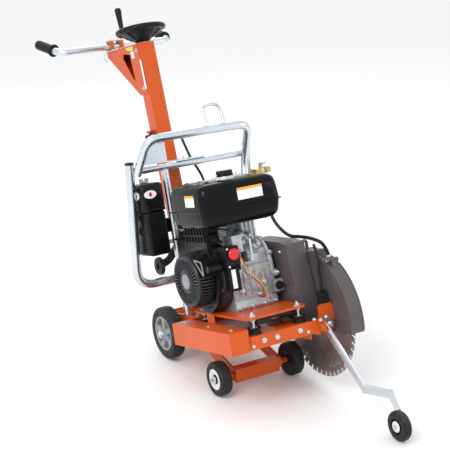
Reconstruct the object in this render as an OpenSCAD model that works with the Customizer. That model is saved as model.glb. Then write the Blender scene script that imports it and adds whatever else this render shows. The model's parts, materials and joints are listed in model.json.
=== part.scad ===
// Walk-behind concrete saw, nose raised in its transport stance.
// Forward is -Y, up is +Z and the blade side is +X.

/* [Stance] */
// Nose-up angle of the chassis about the rear axle, degrees
pitch = 17.5; // [14:0.5:18]
// Distance between the front and rear axles at rest
wheelbase = 355; // [345:1:365]

/* [Wheels] */
// Rear wheel diameter
rear_d = 200; // [198:1:202]
// Rear wheel width
rear_w = 50; // [40:1:52]
// Rear wheel centre to the middle plane
rear_x = 152; // [150:1:154]
// Front wheel diameter
front_d = 125; // [123:1:127]
// Front wheel width
front_w = 45; // [38:1:48]
// Front wheel centre to the middle plane
front_x = 153; // [150:1:156]
// Pointer wheel diameter
pointer_d = 105; // [100:1:108]

/* [Blade] */
// Blade diameter
blade_d = 450; // [350:10:450]
// Blade bore
arbor_d = 25.4; // [25.4, 20, 22.2]
// Blade plane to the middle plane
blade_x = 208; // [207:0.5:209]
// Thickness of the blade core
blade_t = 3.2; // [2.4:0.1:3.6]
// Teeth round the blade rim
blade_teeth = 48; // [24:1:60]

/* [Chassis] */
// Chassis sheet thickness
sheet = 5; // [4:0.5:6]
// Right-hand side panel to the middle plane
panel_x = 234; // [232:1:236]
// Height of the side panel
panel_h = 78; // [74:1:80]

/* [Engine] */
// Crankshaft height over the rear axle line
crank_z = 222; // [222:1:224]
// Radius of the starter cover
starter_r = 97; // [92:1:100]

/* [Frame] */
// Width of the square column
column_w = 62; // [58:1:64]
// Lean of the column behind the chassis normal, degrees
column_lean = 5.1; // [4.5:0.1:5.5]
// Lifting frame tube diameter
tube_d = 34; // [30:1:35]
// Handlebar tube diameter
bar_d = 30; // [25:1:32]
// Handwheel diameter
handwheel_d = 200; // [180:5:210]

/* [Hidden] */
$fn = 48;

rear_r = rear_d / 2;
front_r = front_d / 2;
pointer_r = pointer_d / 2;
// the chassis frame has its origin on the rear axle, y rearward and z along its normal
panel_y = [-605, -180];
panel_z = -15;
deck_z = 35;
rail_x = 120;
left_x = 86;
crank_y = -315;
// lean of the cylinder behind the chassis normal, degrees
cylinder_lean = 25;
tank_x = [-213, 104];
tank_y = [-520, -261];
tank_seam = 468;
filler = [-70, -448];
cleaner = [-184, -30];
post = [-111, -72];
foot_y = [-400, -250];
plate_top = 94;
arbor_y = -467;
arbor_z = 18;
guard_r = 242;
guard_in = 182;
guard_out = 236;
guard_wall = 3;
guard_low = -25;
flap_y = -610;
column_y = 66;
column_top = 1108;
carrier_y = -84;
carrier_z = -16;
lever_len = 144;
lever_rise = 10;
pulley_x = [112, 164];
bar_y = 428;
bar_z = 1124;
bar_half = 244;
knob_at = [-50, 62];
point_pivot = [127, -630, 15];
// places on the ground frame, with the front axle at y = 0
wheel_point = [204, -575, pointer_r];
knee_low = [190, -395, 112];
knee_top = [224, -500, 128];
// shift that puts the origin under the middle of the whole machine
origin_shift = [-17.54, -322.36, 0];

orange = [0.91, 0.38, 0.14];
zinc = [0.80, 0.83, 0.86];
steel = [0.62, 0.63, 0.65];
black = [0.08, 0.08, 0.09];
dark = [0.33, 0.30, 0.31];
cast = [0.72, 0.72, 0.73];

function rotx(p, a) = [p[0], p[1] * cos(a) - p[2] * sin(a), p[1] * sin(a) + p[2] * cos(a)];
function to_ground(p) = rotx(p, -pitch) + [0, wheelbase, rear_r];
function unit(v) = v / norm(v);

// ---- frames of reference ----
module ground() {
    translate(origin_shift) children();
}
module raised() {
    ground() translate([0, wheelbase, rear_r]) rotate([-pitch, 0, 0]) children();
}
module along_column() {
    raised() translate([0, column_y, 0]) rotate([-column_lean, 0, 0]) children();
}

// ---- shapes that repeat ----
module box(x, y, z) {
    translate([x[0], y[0], z[0]]) cube([x[1] - x[0], y[1] - y[0], z[1] - z[0]]);
}
// a rod along X between two x values
module rod(x, y, z, r) {
    translate([x[0], y, z]) rotate([0, 90, 0]) cylinder(h = x[1] - x[0], r = r);
}
module pipe_x(x, y, z, r, bore) {
    difference() {
        rod(x, y, z, r);
        rod([x[0] - 1, x[1] + 1], y, z, bore);
    }
}
// a plate in the YZ plane
module side_plate(x, points) {
    translate([x[0], 0, 0]) rotate([90, 0, 90]) linear_extrude(x[1] - x[0]) polygon(points);
}
module rounded_box(x, y, z, r) {
    hull() for (a = [x[0] + r, x[1] - r], b = [y[0] + r, y[1] - r], c = [z[0] + r, z[1] - r])
        translate([a, b, c]) sphere(r, $fn = 16);
}
// a bolt head with its washer, facing -Y
module hex_head(p, r) {
    translate(p) rotate([90, 0, 0]) {
        cylinder(h = 2, r = r * 1.35);
        translate([0, 0, 2]) cylinder(h = r * 0.9, r = r, $fn = 6);
    }
}
// points of a path whose inner corners are rounded with tangent length cut
function rounded_path(p, cut, n = 5) = concat([p[0]],
    [for (i = [1:len(p) - 2])
        let (a = p[i] + unit(p[i - 1] - p[i]) * cut, b = p[i] + unit(p[i + 1] - p[i]) * cut)
        for (k = [0:n]) let (t = k / n) a * (1 - t) * (1 - t) + p[i] * 2 * t * (1 - t) + b * t * t],
    [p[len(p) - 1]]);
// a round bar swept along a path
module swept(path, r, sides = 16) {
    last = len(path) - 1;
    side = unit([0.31, 0.52, 0.79]);
    function heading(i) = unit(path[min(i + 1, last)] - path[max(i - 1, 0)]);
    function ring(i) = let (h = heading(i), u = unit(cross(h, side)), v = cross(h, u))
        [for (k = [0:sides - 1]) path[i] + r * (cos(360 * k / sides) * u + sin(360 * k / sides) * v)];
    polyhedron(points = [for (i = [0:last]) each ring(i)],
        faces = concat([[for (k = [0:sides - 1]) k]],
            [for (i = [0:last - 1], k = [0:sides - 1]) let (n = (k + 1) % sides)
                [i * sides + k, (i + 1) * sides + k, (i + 1) * sides + n, i * sides + n]],
            [[for (k = [sides - 1:-1:0]) last * sides + k]]));
}
module tyre(x, y, z, r, w, bore) {
    round = 9;
    translate([x - w / 2, y, z]) rotate([0, 90, 0]) rotate_extrude($fn = 96) {
        translate([bore, 0]) square([r - round - bore, w]);
        translate([bore, round]) square([r - bore, w - 2 * round]);
        for (h = [round, w - round]) translate([r - round, h]) circle(round);
    }
}
module rim(x, y, z, r, w, bore) {
    difference() {
        rod([x - w / 2 + 1, x + w / 2 - 1], y, z, r);
        rod([x - w, x + w], y, z, bore);
        for (s = [-1, 1]) translate([x + s * w / 2, y, z]) rotate([0, 90, 0]) difference() {
            cylinder(h = 26, r = r - 8, center = true);
            cylinder(h = 40, r = bore + 11, center = true);
        }
        for (k = [0:4]) translate([x, y, z]) rotate([72 * k, 0, 0]) rod([-w, w], 0, r * 0.58, r * 0.16);
    }
}

// ---- chassis ----
module chassis() {
    color(orange) raised() difference() {
        union() {
            box([-panel_x, -panel_x + sheet], panel_y, [panel_z, panel_z + panel_h]);
            box([-panel_x, -160], [panel_y[0], panel_y[0] + sheet], [panel_z, panel_z + panel_h]);
            box([-panel_x, -160], panel_y, [panel_z + panel_h - sheet, panel_z + panel_h]);
            box([-165, -160], panel_y, [deck_z - sheet, panel_z + panel_h]);
            box([-165, left_x], [panel_y[0] + 35, panel_y[1]], [deck_z - sheet, deck_z]);
            box([-165, left_x], [panel_y[0] + 35, panel_y[0] + 40], [panel_z, deck_z]);
            side_plate([left_x - sheet, left_x], [[-600, -30], [-440, -30], [-420, -10], [-180, -10],
                [-180, deck_z], [-600, deck_z]]);
            box([-panel_x, -160], [panel_y[1] - sheet, panel_y[1]], [panel_z, panel_z + panel_h]);
            box([-161, rail_x], [panel_y[1] - sheet, panel_y[1]], [deck_z - sheet, panel_z + panel_h]);
            for (s = [-1, 1]) side_plate([s * rail_x - 4, s * rail_x + 4], [[-183, panel_z],
                [-120, -44], [-50, -44], [-20, -24], [40, -24], [112, 10], [112, 63], [-183, 63]]);
            box([-rail_x, rail_x], [33.5, 38.5], [42, 63]);
            box([-rail_x, rail_x], [102.7, 107.7], [14, 63]);
        }
        rod([-200, 200], 0, 0, 10.05);
        rod([-200, 200], carrier_y, carrier_z, 10.05);
        rod([left_x - 20, left_x + 20], arbor_y, arbor_z, 30);
        box([0, left_x - 2], [arbor_y - 32, arbor_y + 32], [deck_z - sheet - 1, deck_z + 1]);
    }
}
module front_bar() {
    front = panel_y[0];
    color(orange) raised() difference() {
        union() {
            box([-158, 92], [front - 6, front], [-10, deck_z]);
            box([-158, 80.9], [front, front + 35], [deck_z - sheet, deck_z]);
            box([-158, -153], [front, front + 34], [-10, deck_z]);
            translate([0, front, 0]) rotate([90, 0, 0]) linear_extrude(6)
                polygon([[92, -10], [104, -16], [121, -16], [121, 35], [92, 35]]);
            box([115, 121], [-650, front], [-5, 33]);
        }
        rod([100, 140], point_pivot[1], point_pivot[2], 6.05);
        for (x = [-107, -55, 38]) translate([x, front, 14]) rotate([90, 0, 0])
            cylinder(h = 20, r = 4.2, center = true);
    }
}
module mounting_bolts() {
    front = panel_y[0];
    color(zinc) raised() {
        for (x = [-107, -55, 38]) {
            hex_head([x, front - 6, 14], 7);
            translate([x, front - 6, 14]) rotate([-90, 0, 0]) cylinder(h = 10, r = 4);
        }
        hex_head([154, -611, 34], 9);
        translate([154, -612, 34]) rotate([-90, 0, 0]) cylinder(h = 20, r = 6);
        for (x = [-75, 45], y = foot_y) translate([x, y, 0]) {
            translate([0, 0, plate_top - 8.1 - 7]) cylinder(h = 7, r = 9, $fn = 6);
            translate([0, 0, plate_top - 10]) cylinder(h = 34, r = 5);
        }
        rod([110, 137], point_pivot[1], point_pivot[2], 6);
        rod([137, 143], point_pivot[1], point_pivot[2], 10);
        for (x = [-118, 64], y = [-572, -222]) translate([x, y, 0]) {
            translate([0, 0, deck_z + 22]) cylinder(h = plate_top + 12 - deck_z - 22, r = 5);
            translate([0, 0, plate_top]) cylinder(h = 8, r = 9, $fn = 6);
            translate([0, 0, plate_top - 16]) cylinder(h = 7, r = 9, $fn = 6);
        }
    }
}
module guard_bracket() {
    color([0.82, 0.30, 0.10]) raised() difference() {
        union() {
            translate([0, -605, 0]) rotate([90, 0, 0]) linear_extrude(6) polygon([[124, 20],
                [124, 76], [134, 84], [176, 84], [guard_in, 70], [guard_in, 24], [160, -12], [140, -12]]);
            box([left_x, guard_in], [-604.9, -599], [-12, 20]);
            box([124, guard_in], [-605, -599], [0, 50]);
        }
        translate([154, -600, 34]) rotate([90, 0, 0]) cylinder(h = 30, r = 6.5, center = true);
    }
}
module engine_plate() {
    x = [-150, 94];
    y = [-592, -195];
    color(orange) raised() difference() {
        union() {
            for (a = [x[0] + 22, x[1] - 22], b = [y[0] + 22, y[1] - 22])
                translate([a, b, plate_top - 8]) cylinder(h = 8, r = 22);
            box([x[0] + 22, x[1] - 22], y, [plate_top - 8, plate_top]);
            box(x, [y[0] + 22, y[1] - 22], [plate_top - 8, plate_top]);
        }
        for (a = [-118, 64], b = [-572, -222]) translate([a, b, plate_top - 20]) cylinder(h = 40, r = 5.3);
        for (a = [-75, 45], b = foot_y) translate([a, b, plate_top - 20]) cylinder(h = 40, r = 5.2);
    }
}
module isolators() {
    color(black) raised() for (x = [-118, 64], y = [-572, -222]) translate([x, y, deck_z]) {
        cylinder(h = 4, r = 25);
        translate([0, 0, 4]) cylinder(h = 14, r = 22);
        translate([0, 0, 18]) cylinder(h = 4, r = 25);
    }
}
module axle_shafts() {
    color(steel) raised() {
        for (s = [-1, 1]) {
            rod([s * 148 - 44, s * 148 + 44], 0, 0, 10);
            rod([s * (rear_x + 30) - 3, s * (rear_x + 30) + 3], 0, 0, 15);
            rod([s * 112 - 4, s * 112 + 4], 0, 0, 18);
        }
        rod([-rail_x - 6, rail_x + 6], carrier_y, carrier_z, 10);
    }
}

// ---- column and handlebar ----
module column() {
    h = column_w / 2;
    color(orange) along_column() difference() {
        box([-h, h], [-h, h], [34, column_top]);
        box([-h + 3, h - 3], [-h + 3, h - 3], [30, column_top - 6]);
        cylinder(h = column_top * 2, r = 9.1);
    }
}
module handlebar_bracket() {
    inner = column_w / 2;
    color(orange) raised() difference() {
        union() {
            for (s = [-1, 1]) side_plate([s * (inner + 1.5) - 1.5, s * (inner + 1.5) + 1.5],
                [[125, 905], [183, 905], [187, 903], [445, 1084], [445, 1104], [150, 1104]]);
            difference() {
                side_plate([-inner - 1, inner + 1], [[183, 905], [187, 903], [445, 1084], [445, 1104],
                    [180, 1104]]);
                side_plate([-inner, inner], [[186, 909], [441, 1087.5], [441, 1099], [203, 1099]]);
                box([-inner, inner], [170, 205], [890, 1110]);
            }
            for (s = [-1, 1]) box([s * 22 - 8, s * 22 + 8], [bar_y - 20, bar_y + 20], [1103, 1146]);
        }
        rod([-60, 60], bar_y, bar_z, bar_d / 2 + 0.3);
        side_plate([-60, 60], [[215, 962], [235, 975], [300, 1062], [292, 1078], [232, 1070]]);
    }
}
module handlebar() {
    reach = [22, 148, 52];
    path = [[-bar_half, bar_y, bar_z] + [-reach[0], reach[1], reach[2]], [-bar_half, bar_y, bar_z],
        [bar_half, bar_y, bar_z], [bar_half, bar_y, bar_z] + reach];
    color(zinc) raised() swept(rounded_path(path, 42, 6), bar_d / 2, 20);
}
module grips() {
    color(black) raised() for (s = [-1, 1]) translate([s * bar_half, bar_y, bar_z]) {
        dir = unit([s * 22, 148, 52]);
        rotate([-acos(dir[2] / norm([dir[1], dir[2]])), 0, 0]) rotate([0, asin(dir[0]), 0])
            translate([0, 0, 48]) difference() {
                union() {
                    cylinder(h = 122, r = bar_d / 2 + 4.5);
                    cylinder(h = 7, r = bar_d / 2 + 11);
                }
                translate([0, 0, -1]) cylinder(h = 112, r = bar_d / 2 + 1.2);
            }
    }
}
module lifting_frame() {
    r = tube_d / 2;
    deck_top = panel_z + panel_h;
    low = [[-250, -72, 657], [-250, 34, 190], [250, 34, 190], [250, -72, 657]];
    hoop = [[-226, -76, 614], [-212, -178, 735], [212, -178, 735],
        [226, -85, 600], [rail_x, -150, deck_top + 6]];
    bail = [[38, -178, 735], [38, -160, 826], [112, -160, 826], [112, -178, 735]];
    color(zinc) raised() {
        swept(rounded_path(low, 75, 7), r);
        swept(rounded_path(hoop, 48, 6), r * 0.94);
        swept(rounded_path(bail, 34, 6), 6.5, 12);
        box([-250, 250], [-84, -60], [612, 636]);
        box([-60, 60], [-84, 91.5], [636, 641]);
        translate([post[0], post[1], deck_top]) {
            cylinder(h = 6, r = 15);
            cylinder(h = 614 - deck_top, r = 13);
        }
        box([rail_x - 18, rail_x + 18], [-168, -132], [deck_top, deck_top + 6]);
    }
}
module stop_box() {
    color(dark) along_column() difference() {
        box([-62, -column_w / 2], [-24, 22], [700, 752]);
        translate([-47, 0, 740]) cylinder(h = 14, r = 7.3);
    }
}
module stop_button() {
    color("red") along_column() {
        translate([-47, 0, 745]) cylinder(h = 14, r = 7);
        translate([-47, 0, 757]) cylinder(h = 10, r = 15);
    }
}

// ---- lift gear ----
module front_carrier() {
    arm = to_ground([0, carrier_y, carrier_z]);
    lever = to_ground([0, carrier_y + lever_len * cos(lever_rise), carrier_z + lever_len * sin(lever_rise)]);
    color(orange) ground() difference() {
        union() {
            for (s = [-1, 1]) hull() {
                rod([s * 95 - 3, s * 95 + 3], arm[1], arm[2], 22);
                rod([s * 95 - 3, s * 95 + 3], 0, front_r + 4, 24);
            }
            box([-92, 92], [-18, 14], [front_r - 28, front_r + 25]);
            pipe_x([-98, 98], arm[1], arm[2], 18, 10.05);
            for (s = [-1, 1]) hull() {
                rod([s * 14 - 3, s * 14 + 3], arm[1], arm[2], 17);
                rod([s * 14 - 3, s * 14 + 3], lever[1], lever[2], 12);
            }
            for (s = [-1, 1]) rod([s * 137 - 46, s * 137 + 46], 0, front_r, 9.95);
            rod([-17, 17], lever[1], lever[2], 5);
        }
        rod([-120, 120], arm[1], arm[2], 10.05);
        box([-86, 86], [-12, 20], [front_r - 40, front_r + 19]);
    }
}
module lift_nut() {
    lever = [0, carrier_y + lever_len * cos(lever_rise), carrier_z + lever_len * sin(lever_rise)];
    local = rotx(lever - [0, column_y, 0], column_lean);
    color(steel) along_column() {
        difference() {
            union() {
                translate([0, 0, 760]) cylinder(h = 40, r = 20);
                translate([0, 0, 40]) cylinder(h = 722, r = 13);
                box([-8, 8], [-20, 20], [local[2] - 12, 50]);
            }
            translate([0, 0, 560]) cylinder(h = 300, r = 9.1);
            box([-20, 20], [local[1] - 12, local[1] + 12], [local[2] - 6.5, local[2] + 6.5]);
        }
    }
}
module lift_screw() {
    color(steel) along_column() translate([0, 0, 580]) cylinder(h = column_top + 70 - 580, r = 9);
}
module handwheel() {
    r = handwheel_d / 2;
    z = column_top + 52;
    color(black) along_column() {
        translate([0, 0, z]) rotate_extrude($fn = 72) translate([r - 12, 0]) circle(12);
        translate([0, 0, column_top + 2]) rotate_extrude($fn = 72) polygon([[9, 0], [24, 0], [36, 12],
            [r - 16, 44], [r - 8, 50], [r - 14, 58], [32, 30], [20, 62], [9, 62]]);
        translate([knob_at[0], knob_at[1], column_top + 52]) cylinder(h = 90, r = 4);
    }
}
module crank_knob() {
    color(black) along_column() translate([knob_at[0], knob_at[1], column_top + 64.5]) difference() {
        union() {
            cylinder(h = 10, r = 9);
            translate([0, 0, 6]) cylinder(h = 76, r1 = 9, r2 = 13);
            translate([0, 0, 82]) sphere(13);
        }
        translate([0, 0, -1]) cylinder(h = 80, r = 4.1);
    }
}

// ---- wheels ----
module rear_rim(s) { color(cast) raised() rim(s * rear_x, 0, 0, rear_r * 0.66, rear_w, 10.08); }
module rear_tyre(s) { color(black) raised() tyre(s * rear_x, 0, 0, rear_r, rear_w, rear_r * 0.66); }
module rear_right_rim() { rear_rim(-1); }
module rear_right_tyre() { rear_tyre(-1); }
module rear_left_rim() { rear_rim(1); }
module rear_left_tyre() { rear_tyre(1); }
module front_wheel(s) {
    color(black) ground() {
        tyre(s * front_x, 0, front_r, front_r, front_w, front_r * 0.62);
        rim(s * front_x, 0, front_r, front_r * 0.62, front_w, 10.03);
    }
}
module front_right_wheel() { front_wheel(-1); }
module front_left_wheel() { front_wheel(1); }

// ---- pointer ----
module pointer_arm() {
    pivot = to_ground(point_pivot);
    module link(a, b) {
        hull() {
            rod([a[0] - 3, a[0] + 3], a[1], a[2], 18);
            rod([b[0] - 3, b[0] + 3], b[1], b[2], 15);
        }
    }
    color(zinc) ground() difference() {
        union() {
            link(pivot, knee_low);
            link(knee_low, knee_top);
            link(knee_top, [wheel_point[0] + 22, wheel_point[1], wheel_point[2]]);
            rod([wheel_point[0] - 20, wheel_point[0] + 30], wheel_point[1], wheel_point[2], 5);
        }
        rod([pivot[0] - 9, pivot[0] + 12], pivot[1], pivot[2], 6.05);
        rod([pivot[0] + 9.8, pivot[0] + 20], pivot[1], pivot[2], 10.4);
    }
}
module pointer_wheel() {
    color(black) ground() {
        tyre(wheel_point[0], wheel_point[1], wheel_point[2], pointer_r, 30, 24);
        pipe_x([wheel_point[0] - 16, wheel_point[0] + 16], wheel_point[1], wheel_point[2], 24.01, 5.05);
    }
}

// ---- engine ----
module crankcase() {
    color(cast) raised() difference() {
        union() {
            box([-94, 78], [-428, -236], [plate_top, plate_top + 30]);
            rod([-94, 70], crank_y, crank_z, 112);
            box([-94, 70], [-424, crank_y], [plate_top + 20, crank_z + 60]);
            rod([70, 84], crank_y, crank_z, 92);
            rod([84, 100], crank_y, crank_z, 36);
            box([-83.9, -44], [-452, -396], [296, 362]);
            box([60, 98], [-448, -420], [134, 178]);
            box([0, 62], [-372, -262], [crank_z + 60, 403.5]);
        }
        rod([-140, 110], crank_y, crank_z, 17.55);
        rod([-84, 60], crank_y, crank_z, 84);
        for (x = [-75, 45], y = foot_y) translate([x, y, 60]) cylinder(h = 60, r = 5.2);
    }
}
// the cylinder leans back from the crankshaft, with y along its bore
module along_cylinder() { translate([0, crank_y, crank_z]) rotate([cylinder_lean, 0, 0]) children(); }
module head_space() { along_cylinder() box([-60, 60], [150, 262.05], [-75, 50.05]); }
module cylinder_block() {
    color(cast) raised() difference() {
        along_cylinder() difference() {
            union() {
                box([-58, 58], [80, 236], [-56, 56]);
                for (k = [0:7]) box([-74, 74], [116 + k * 14, 120 + k * 14], [-70, 70]);
                box([-52, 52], [236, 262], [-50, 50]);
            }
            rotate([-90, 0, 0]) cylinder(h = 225, r = 44);
        }
        rod([-110, 110], crank_y, crank_z, 112.05);
    }
}
module fan_housing() {
    color(black) raised() difference() {
        union() {
            rod([-150, -95], crank_y, crank_z, 124);
            box([-150, -95], [crank_y, -160], [crank_z - 20, crank_z + 134]);
            box([-150, -95], [crank_y - 70, -230], [crank_z + 90, 403.5]);
        }
        rod([-146, -90], crank_y, crank_z, 119);
        box([-146, -90], [crank_y, -165], [crank_z - 15, crank_z + 129]);
        rod([-160, -140], crank_y, crank_z, 84);
    }
}
module recoil_cover() {
    color([0.25, 0.25, 0.27]) raised() difference() {
        union() {
            rod([-212, -150], crank_y, crank_z, starter_r);
            rod([-222, -212], crank_y, crank_z, starter_r - 10);
            box([-196, -152], [crank_y - 112, crank_y - 60], [crank_z + 26, crank_z + 66]);
        }
        rod([-208, -149], crank_y, crank_z, starter_r - 4);
        for (k = [0:17]) translate([0, crank_y, crank_z]) rotate([20 * k, 0, 0])
            box([-230, -205], [-3.5, 3.5], [40, 78]);
        box([-190, -158], [crank_y - 120, crank_y - 84], [crank_z + 32, crank_z + 60]);
    }
}
module recoil_handle() {
    color(black) raised() translate([-174, crank_y - 114, crank_z + 46]) {
        translate([0, 8, 0]) rotate([90, 0, 0]) cylinder(h = 32, r = 9);
        translate([-26, -30, 0]) rotate([0, 90, 0]) cylinder(h = 52, r = 12);
    }
}
module tank_half(z, inset) {
    edge = 34 + inset;
    hull() {
        for (a = [tank_x[0] + 26, tank_x[1] - 26], b = [tank_y[0] + 26, tank_y[1] - 26])
            translate([a, b, z[0]]) cylinder(h = 3, r = 26, $fn = 32);
        for (a = [tank_x[0] + edge, tank_x[1] - edge], b = [tank_y[0] + edge, tank_y[1] - edge])
            translate([a, b, z[1] - 30]) sphere(30, $fn = 32);
    }
}
module fuel_tank_lower() {
    color(black) raised() translate([0, 0, 2 * tank_seam]) mirror([0, 0, 1])
        tank_half([tank_seam, tank_seam + 64], 6);
}
module fuel_tank_upper() {
    color(black) raised() {
        tank_half([tank_seam + 0.2, tank_seam + 97], 6);
        box([tank_x[0] - 6, tank_x[1] + 6], [tank_y[0] - 6, tank_y[1] + 6],
            [tank_seam + 0.2, tank_seam + 5]);
        translate([filler[0], filler[1], 560]) cylinder(h = 12, r = 24);
    }
}
module fuel_cap() {
    color([0.16, 0.16, 0.17]) raised() translate([filler[0], filler[1], 572.4]) {
        difference() {
            cylinder(h = 20, r = 30);
            for (k = [0:7]) rotate(45 * k) translate([33, 0, -1]) cylinder(h = 30, r = 7);
        }
    }
}
module air_cleaner() {
    color(black) raised() {
        rounded_box([-226, -142], [-90, 30], [305, 470], 12);
        rounded_box([-230, -138], [-94, 34], [472, 574], 14);
        box([-220, -148], [-84, 24], [466, 478]);
        translate([cleaner[0], cleaner[1], 570]) cylinder(h = 14, r = 4);
        box([-146, -70], [-55, -10], [380, 430]);
    }
}
module cleaner_nut() {
    color(steel) raised() translate([cleaner[0], cleaner[1], 575]) difference() {
        union() {
            cylinder(h = 8, r = 8);
            box([-20, 20], [-2.5, 2.5], [2, 18]);
        }
        cylinder(h = 60, r = 4.1, center = true);
    }
}
module carburettor() {
    color(cast) raised() {
        box([-70, -22], [-66, -8], [378, 432]);
        translate([-46, -36, 348]) cylinder(h = 32, r = 20);
        box([-22, -1], [-60, -14], [384, 428]);
        difference() {
            box([-50, -30], [-92, -48], [330, 350]);
            head_space();
        }
    }
}
module choke_lever() {
    color(black) raised() {
        translate([-60, -73, 400]) rotate([-90, 0, 0]) cylinder(h = 6, r = 7);
        box([-64, -56], [-72, -68], [404, 436]);
    }
}
module throttle_lever() {
    color([0.16, 0.16, 0.17]) raised() {
        translate([-34, -74, 396]) rotate([-90, 0, 0]) cylinder(h = 7, r = 7);
        box([-40, -28], [-74, -70], [362, 396]);
    }
}
module muffler() {
    color([0.14, 0.14, 0.15]) raised() {
        rounded_box([0, 118], [-112, 22], [400, 506], 16);
        difference() {
            box([20, 70], [-100, -60], [350, 410]);
            head_space();
        }
    }
}
module exhaust_deflector() {
    route = [[60, 22.2, 440], [60, 50, 440], [-20, 42, 350], [-96, 50, 262], [-130, 58, 250]];
    color(dark) raised() difference() {
        union() {
            swept(rounded_path(route, 14, 4), 15);
            rod([-142, -128], 58, 247, 33);
        }
        rod([-150, -124], 58, 247, 12);
    }
}
module switch_box() {
    color(black) raised() {
        box([-134, -84], [-486, -436.5], [262, 332]);
        box([-128, -90], [-478, -440], [178, 262.1]);
    }
}
module engine_switch() {
    color("red") raised() translate([-108, -486.4, 306]) rotate([90, 0, 0]) {
        cylinder(h = 8, r = 20);
        translate([0, 0, 8]) cylinder(h = 10, r1 = 19, r2 = 15);
    }
}
module oil_cap() {
    color(black) raised() translate([79, -448.4, 156]) rotate([90, 0, 0]) {
        cylinder(h = 6, r = 15);
        translate([0, 0, 6]) cylinder(h = 14, r = 9);
    }
}
module wiring() {
    route = [[-84, -470, 300], [-74, -474, 290], [-62, -476, 262], [-48, -474, 232], [-30, -470, 205],
        [-8, -466, 180], [12, -464, 150], [24, -462, 128], [28, -455, 118]];
    color([0.75, 0.2, 0.2]) raised() swept(route, 2.6, 8);
}
module water_hose() {
    route = [[286, -98, 520], [286, -104, 496], [272, -130, 460], [238, -190, 410], [200, -280, 365],
        [168, -380, 335], [150, -460, 320], [150, -520, 318], [160, -566, 312], [178, -600, 296],
        [194, -600, 276], [204, -596, 258], [209, -592, 244], [209, -591, 232]];
    color([0.10, 0.10, 0.11]) raised() swept(route, 6.5, 12);
}
module water_valve() {
    color([0.72, 0.55, 0.25]) raised() {
        translate([286, -98, 520]) cylinder(h = 50, r = 9);
        translate([286, -98, 532]) cylinder(h = 22, r = 14, $fn = 6);
        rod([267, 318], -98, 545, 8);
        rod([306, 322], -98, 545, 12.5);
        difference() {
            box([228, 270], [-76, -60], [536, 554]);
            translate([250, -46.6, 545]) rotate([12.8, 0, 0]) cylinder(h = 60, r = 17.6, center = true);
        }
        box([261, 278], [-104, -61], [537, 552]);
    }
}
module water_lever() {
    color([0.15, 0.35, 0.6]) raised() {
        translate([286, -98, 570.4]) cylinder(h = 6, r = 8);
        box([282, 290], [-140, -98], [572, 576]);
    }
}

// ---- drive ----
module crankshaft() {
    color(steel) raised() {
        rod([-138, 168], crank_y, crank_z, 12.7);
        rod([-92, 98], crank_y, crank_z, 17.5);
        rod([-40, -20], crank_y, crank_z, 60);
        rod([20, 40], crank_y, crank_z, 60);
        rod([-138, -106], crank_y, crank_z, 100);
    }
}
module pulley(y, z, r, bore) {
    difference() {
        rod(pulley_x, y, z, r);
        rod([pulley_x[0] - 1, pulley_x[1] + 1], y, z, bore);
        for (k = [0:2]) translate([pulley_x[0] + 9 + 17 * k, y, z]) rotate([0, 90, 0])
            rotate_extrude() polygon([[r - 11, 3], [r + 1, 0], [r + 1, 14], [r - 11, 11]]);
    }
}
module drive_pulley() { color(dark) raised() pulley(crank_y, crank_z, 60, 12.7); }
module driven_pulley() { color(dark) raised() pulley(arbor_y, arbor_z, 46, 15); }
module belt_loop(x, ra, rb) {
    translate([x[0], 0, 0]) rotate([90, 0, 90]) linear_extrude(x[1] - x[0]) hull() {
        translate([crank_y, crank_z]) circle(ra, $fn = 72);
        translate([arbor_y, arbor_z]) circle(rb, $fn = 72);
    }
}
module v_belts() {
    color([0.12, 0.12, 0.12]) raised() for (k = [0:2]) let (x = pulley_x[0] + 11.5 + 17 * k) difference() {
        belt_loop([x, x + 9], 60.5, 46.5);
        belt_loop([x - 1, x + 10], 52, 38);
    }
}
module belt_outline(grow) {
    offset(delta = grow) polygon([[-238, 300], [-262, 312], [-440, 306], [-497, 298], [-540, 10],
        [-530, -26], [-500, -40], [-440, -40], [-412, -14], [-245, 170]]);
}
module belt_guard() {
    x = [100, 178];
    color(dark) raised() difference() {
        translate([x[0], 0, 0]) rotate([90, 0, 90]) linear_extrude(x[1] - x[0]) belt_outline(0);
        translate([x[0] + 3, 0, 0]) rotate([90, 0, 90]) linear_extrude(x[1] - x[0] - 6) belt_outline(-3);
        rod([150, 200], arbor_y, arbor_z, 32);
        rod([90, 110], arbor_y, arbor_z, 20);
        rod([90, 110], crank_y, crank_z, 20);
    }
}
module blade_bearings() {
    color(cast) raised() for (x = [[4, 40], [48, 78]]) difference() {
        union() {
            rod(x, arbor_y, arbor_z, 28);
            box(x, [arbor_y - 50, arbor_y + 50], [12, deck_z - sheet]);
        }
        rod([x[0] - 1, x[1] + 1], arbor_y, arbor_z, 15.04);
    }
}
module blade_shaft() {
    color(steel) raised() {
        rod([0, 196], arbor_y, arbor_z, 15);
        rod([196, 226], arbor_y, arbor_z, arbor_d / 2 - 0.05);
    }
}
module blade_flanges() {
    color(steel) raised() {
        pipe_x([196, blade_x - blade_t / 2], arbor_y, arbor_z, 54, arbor_d / 2);
        pipe_x([blade_x + blade_t / 2, blade_x + 12], arbor_y, arbor_z, 54, arbor_d / 2);
        pipe_x([blade_x + 12, blade_x + 22], arbor_y, arbor_z, 18, arbor_d / 2);
    }
}
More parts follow.
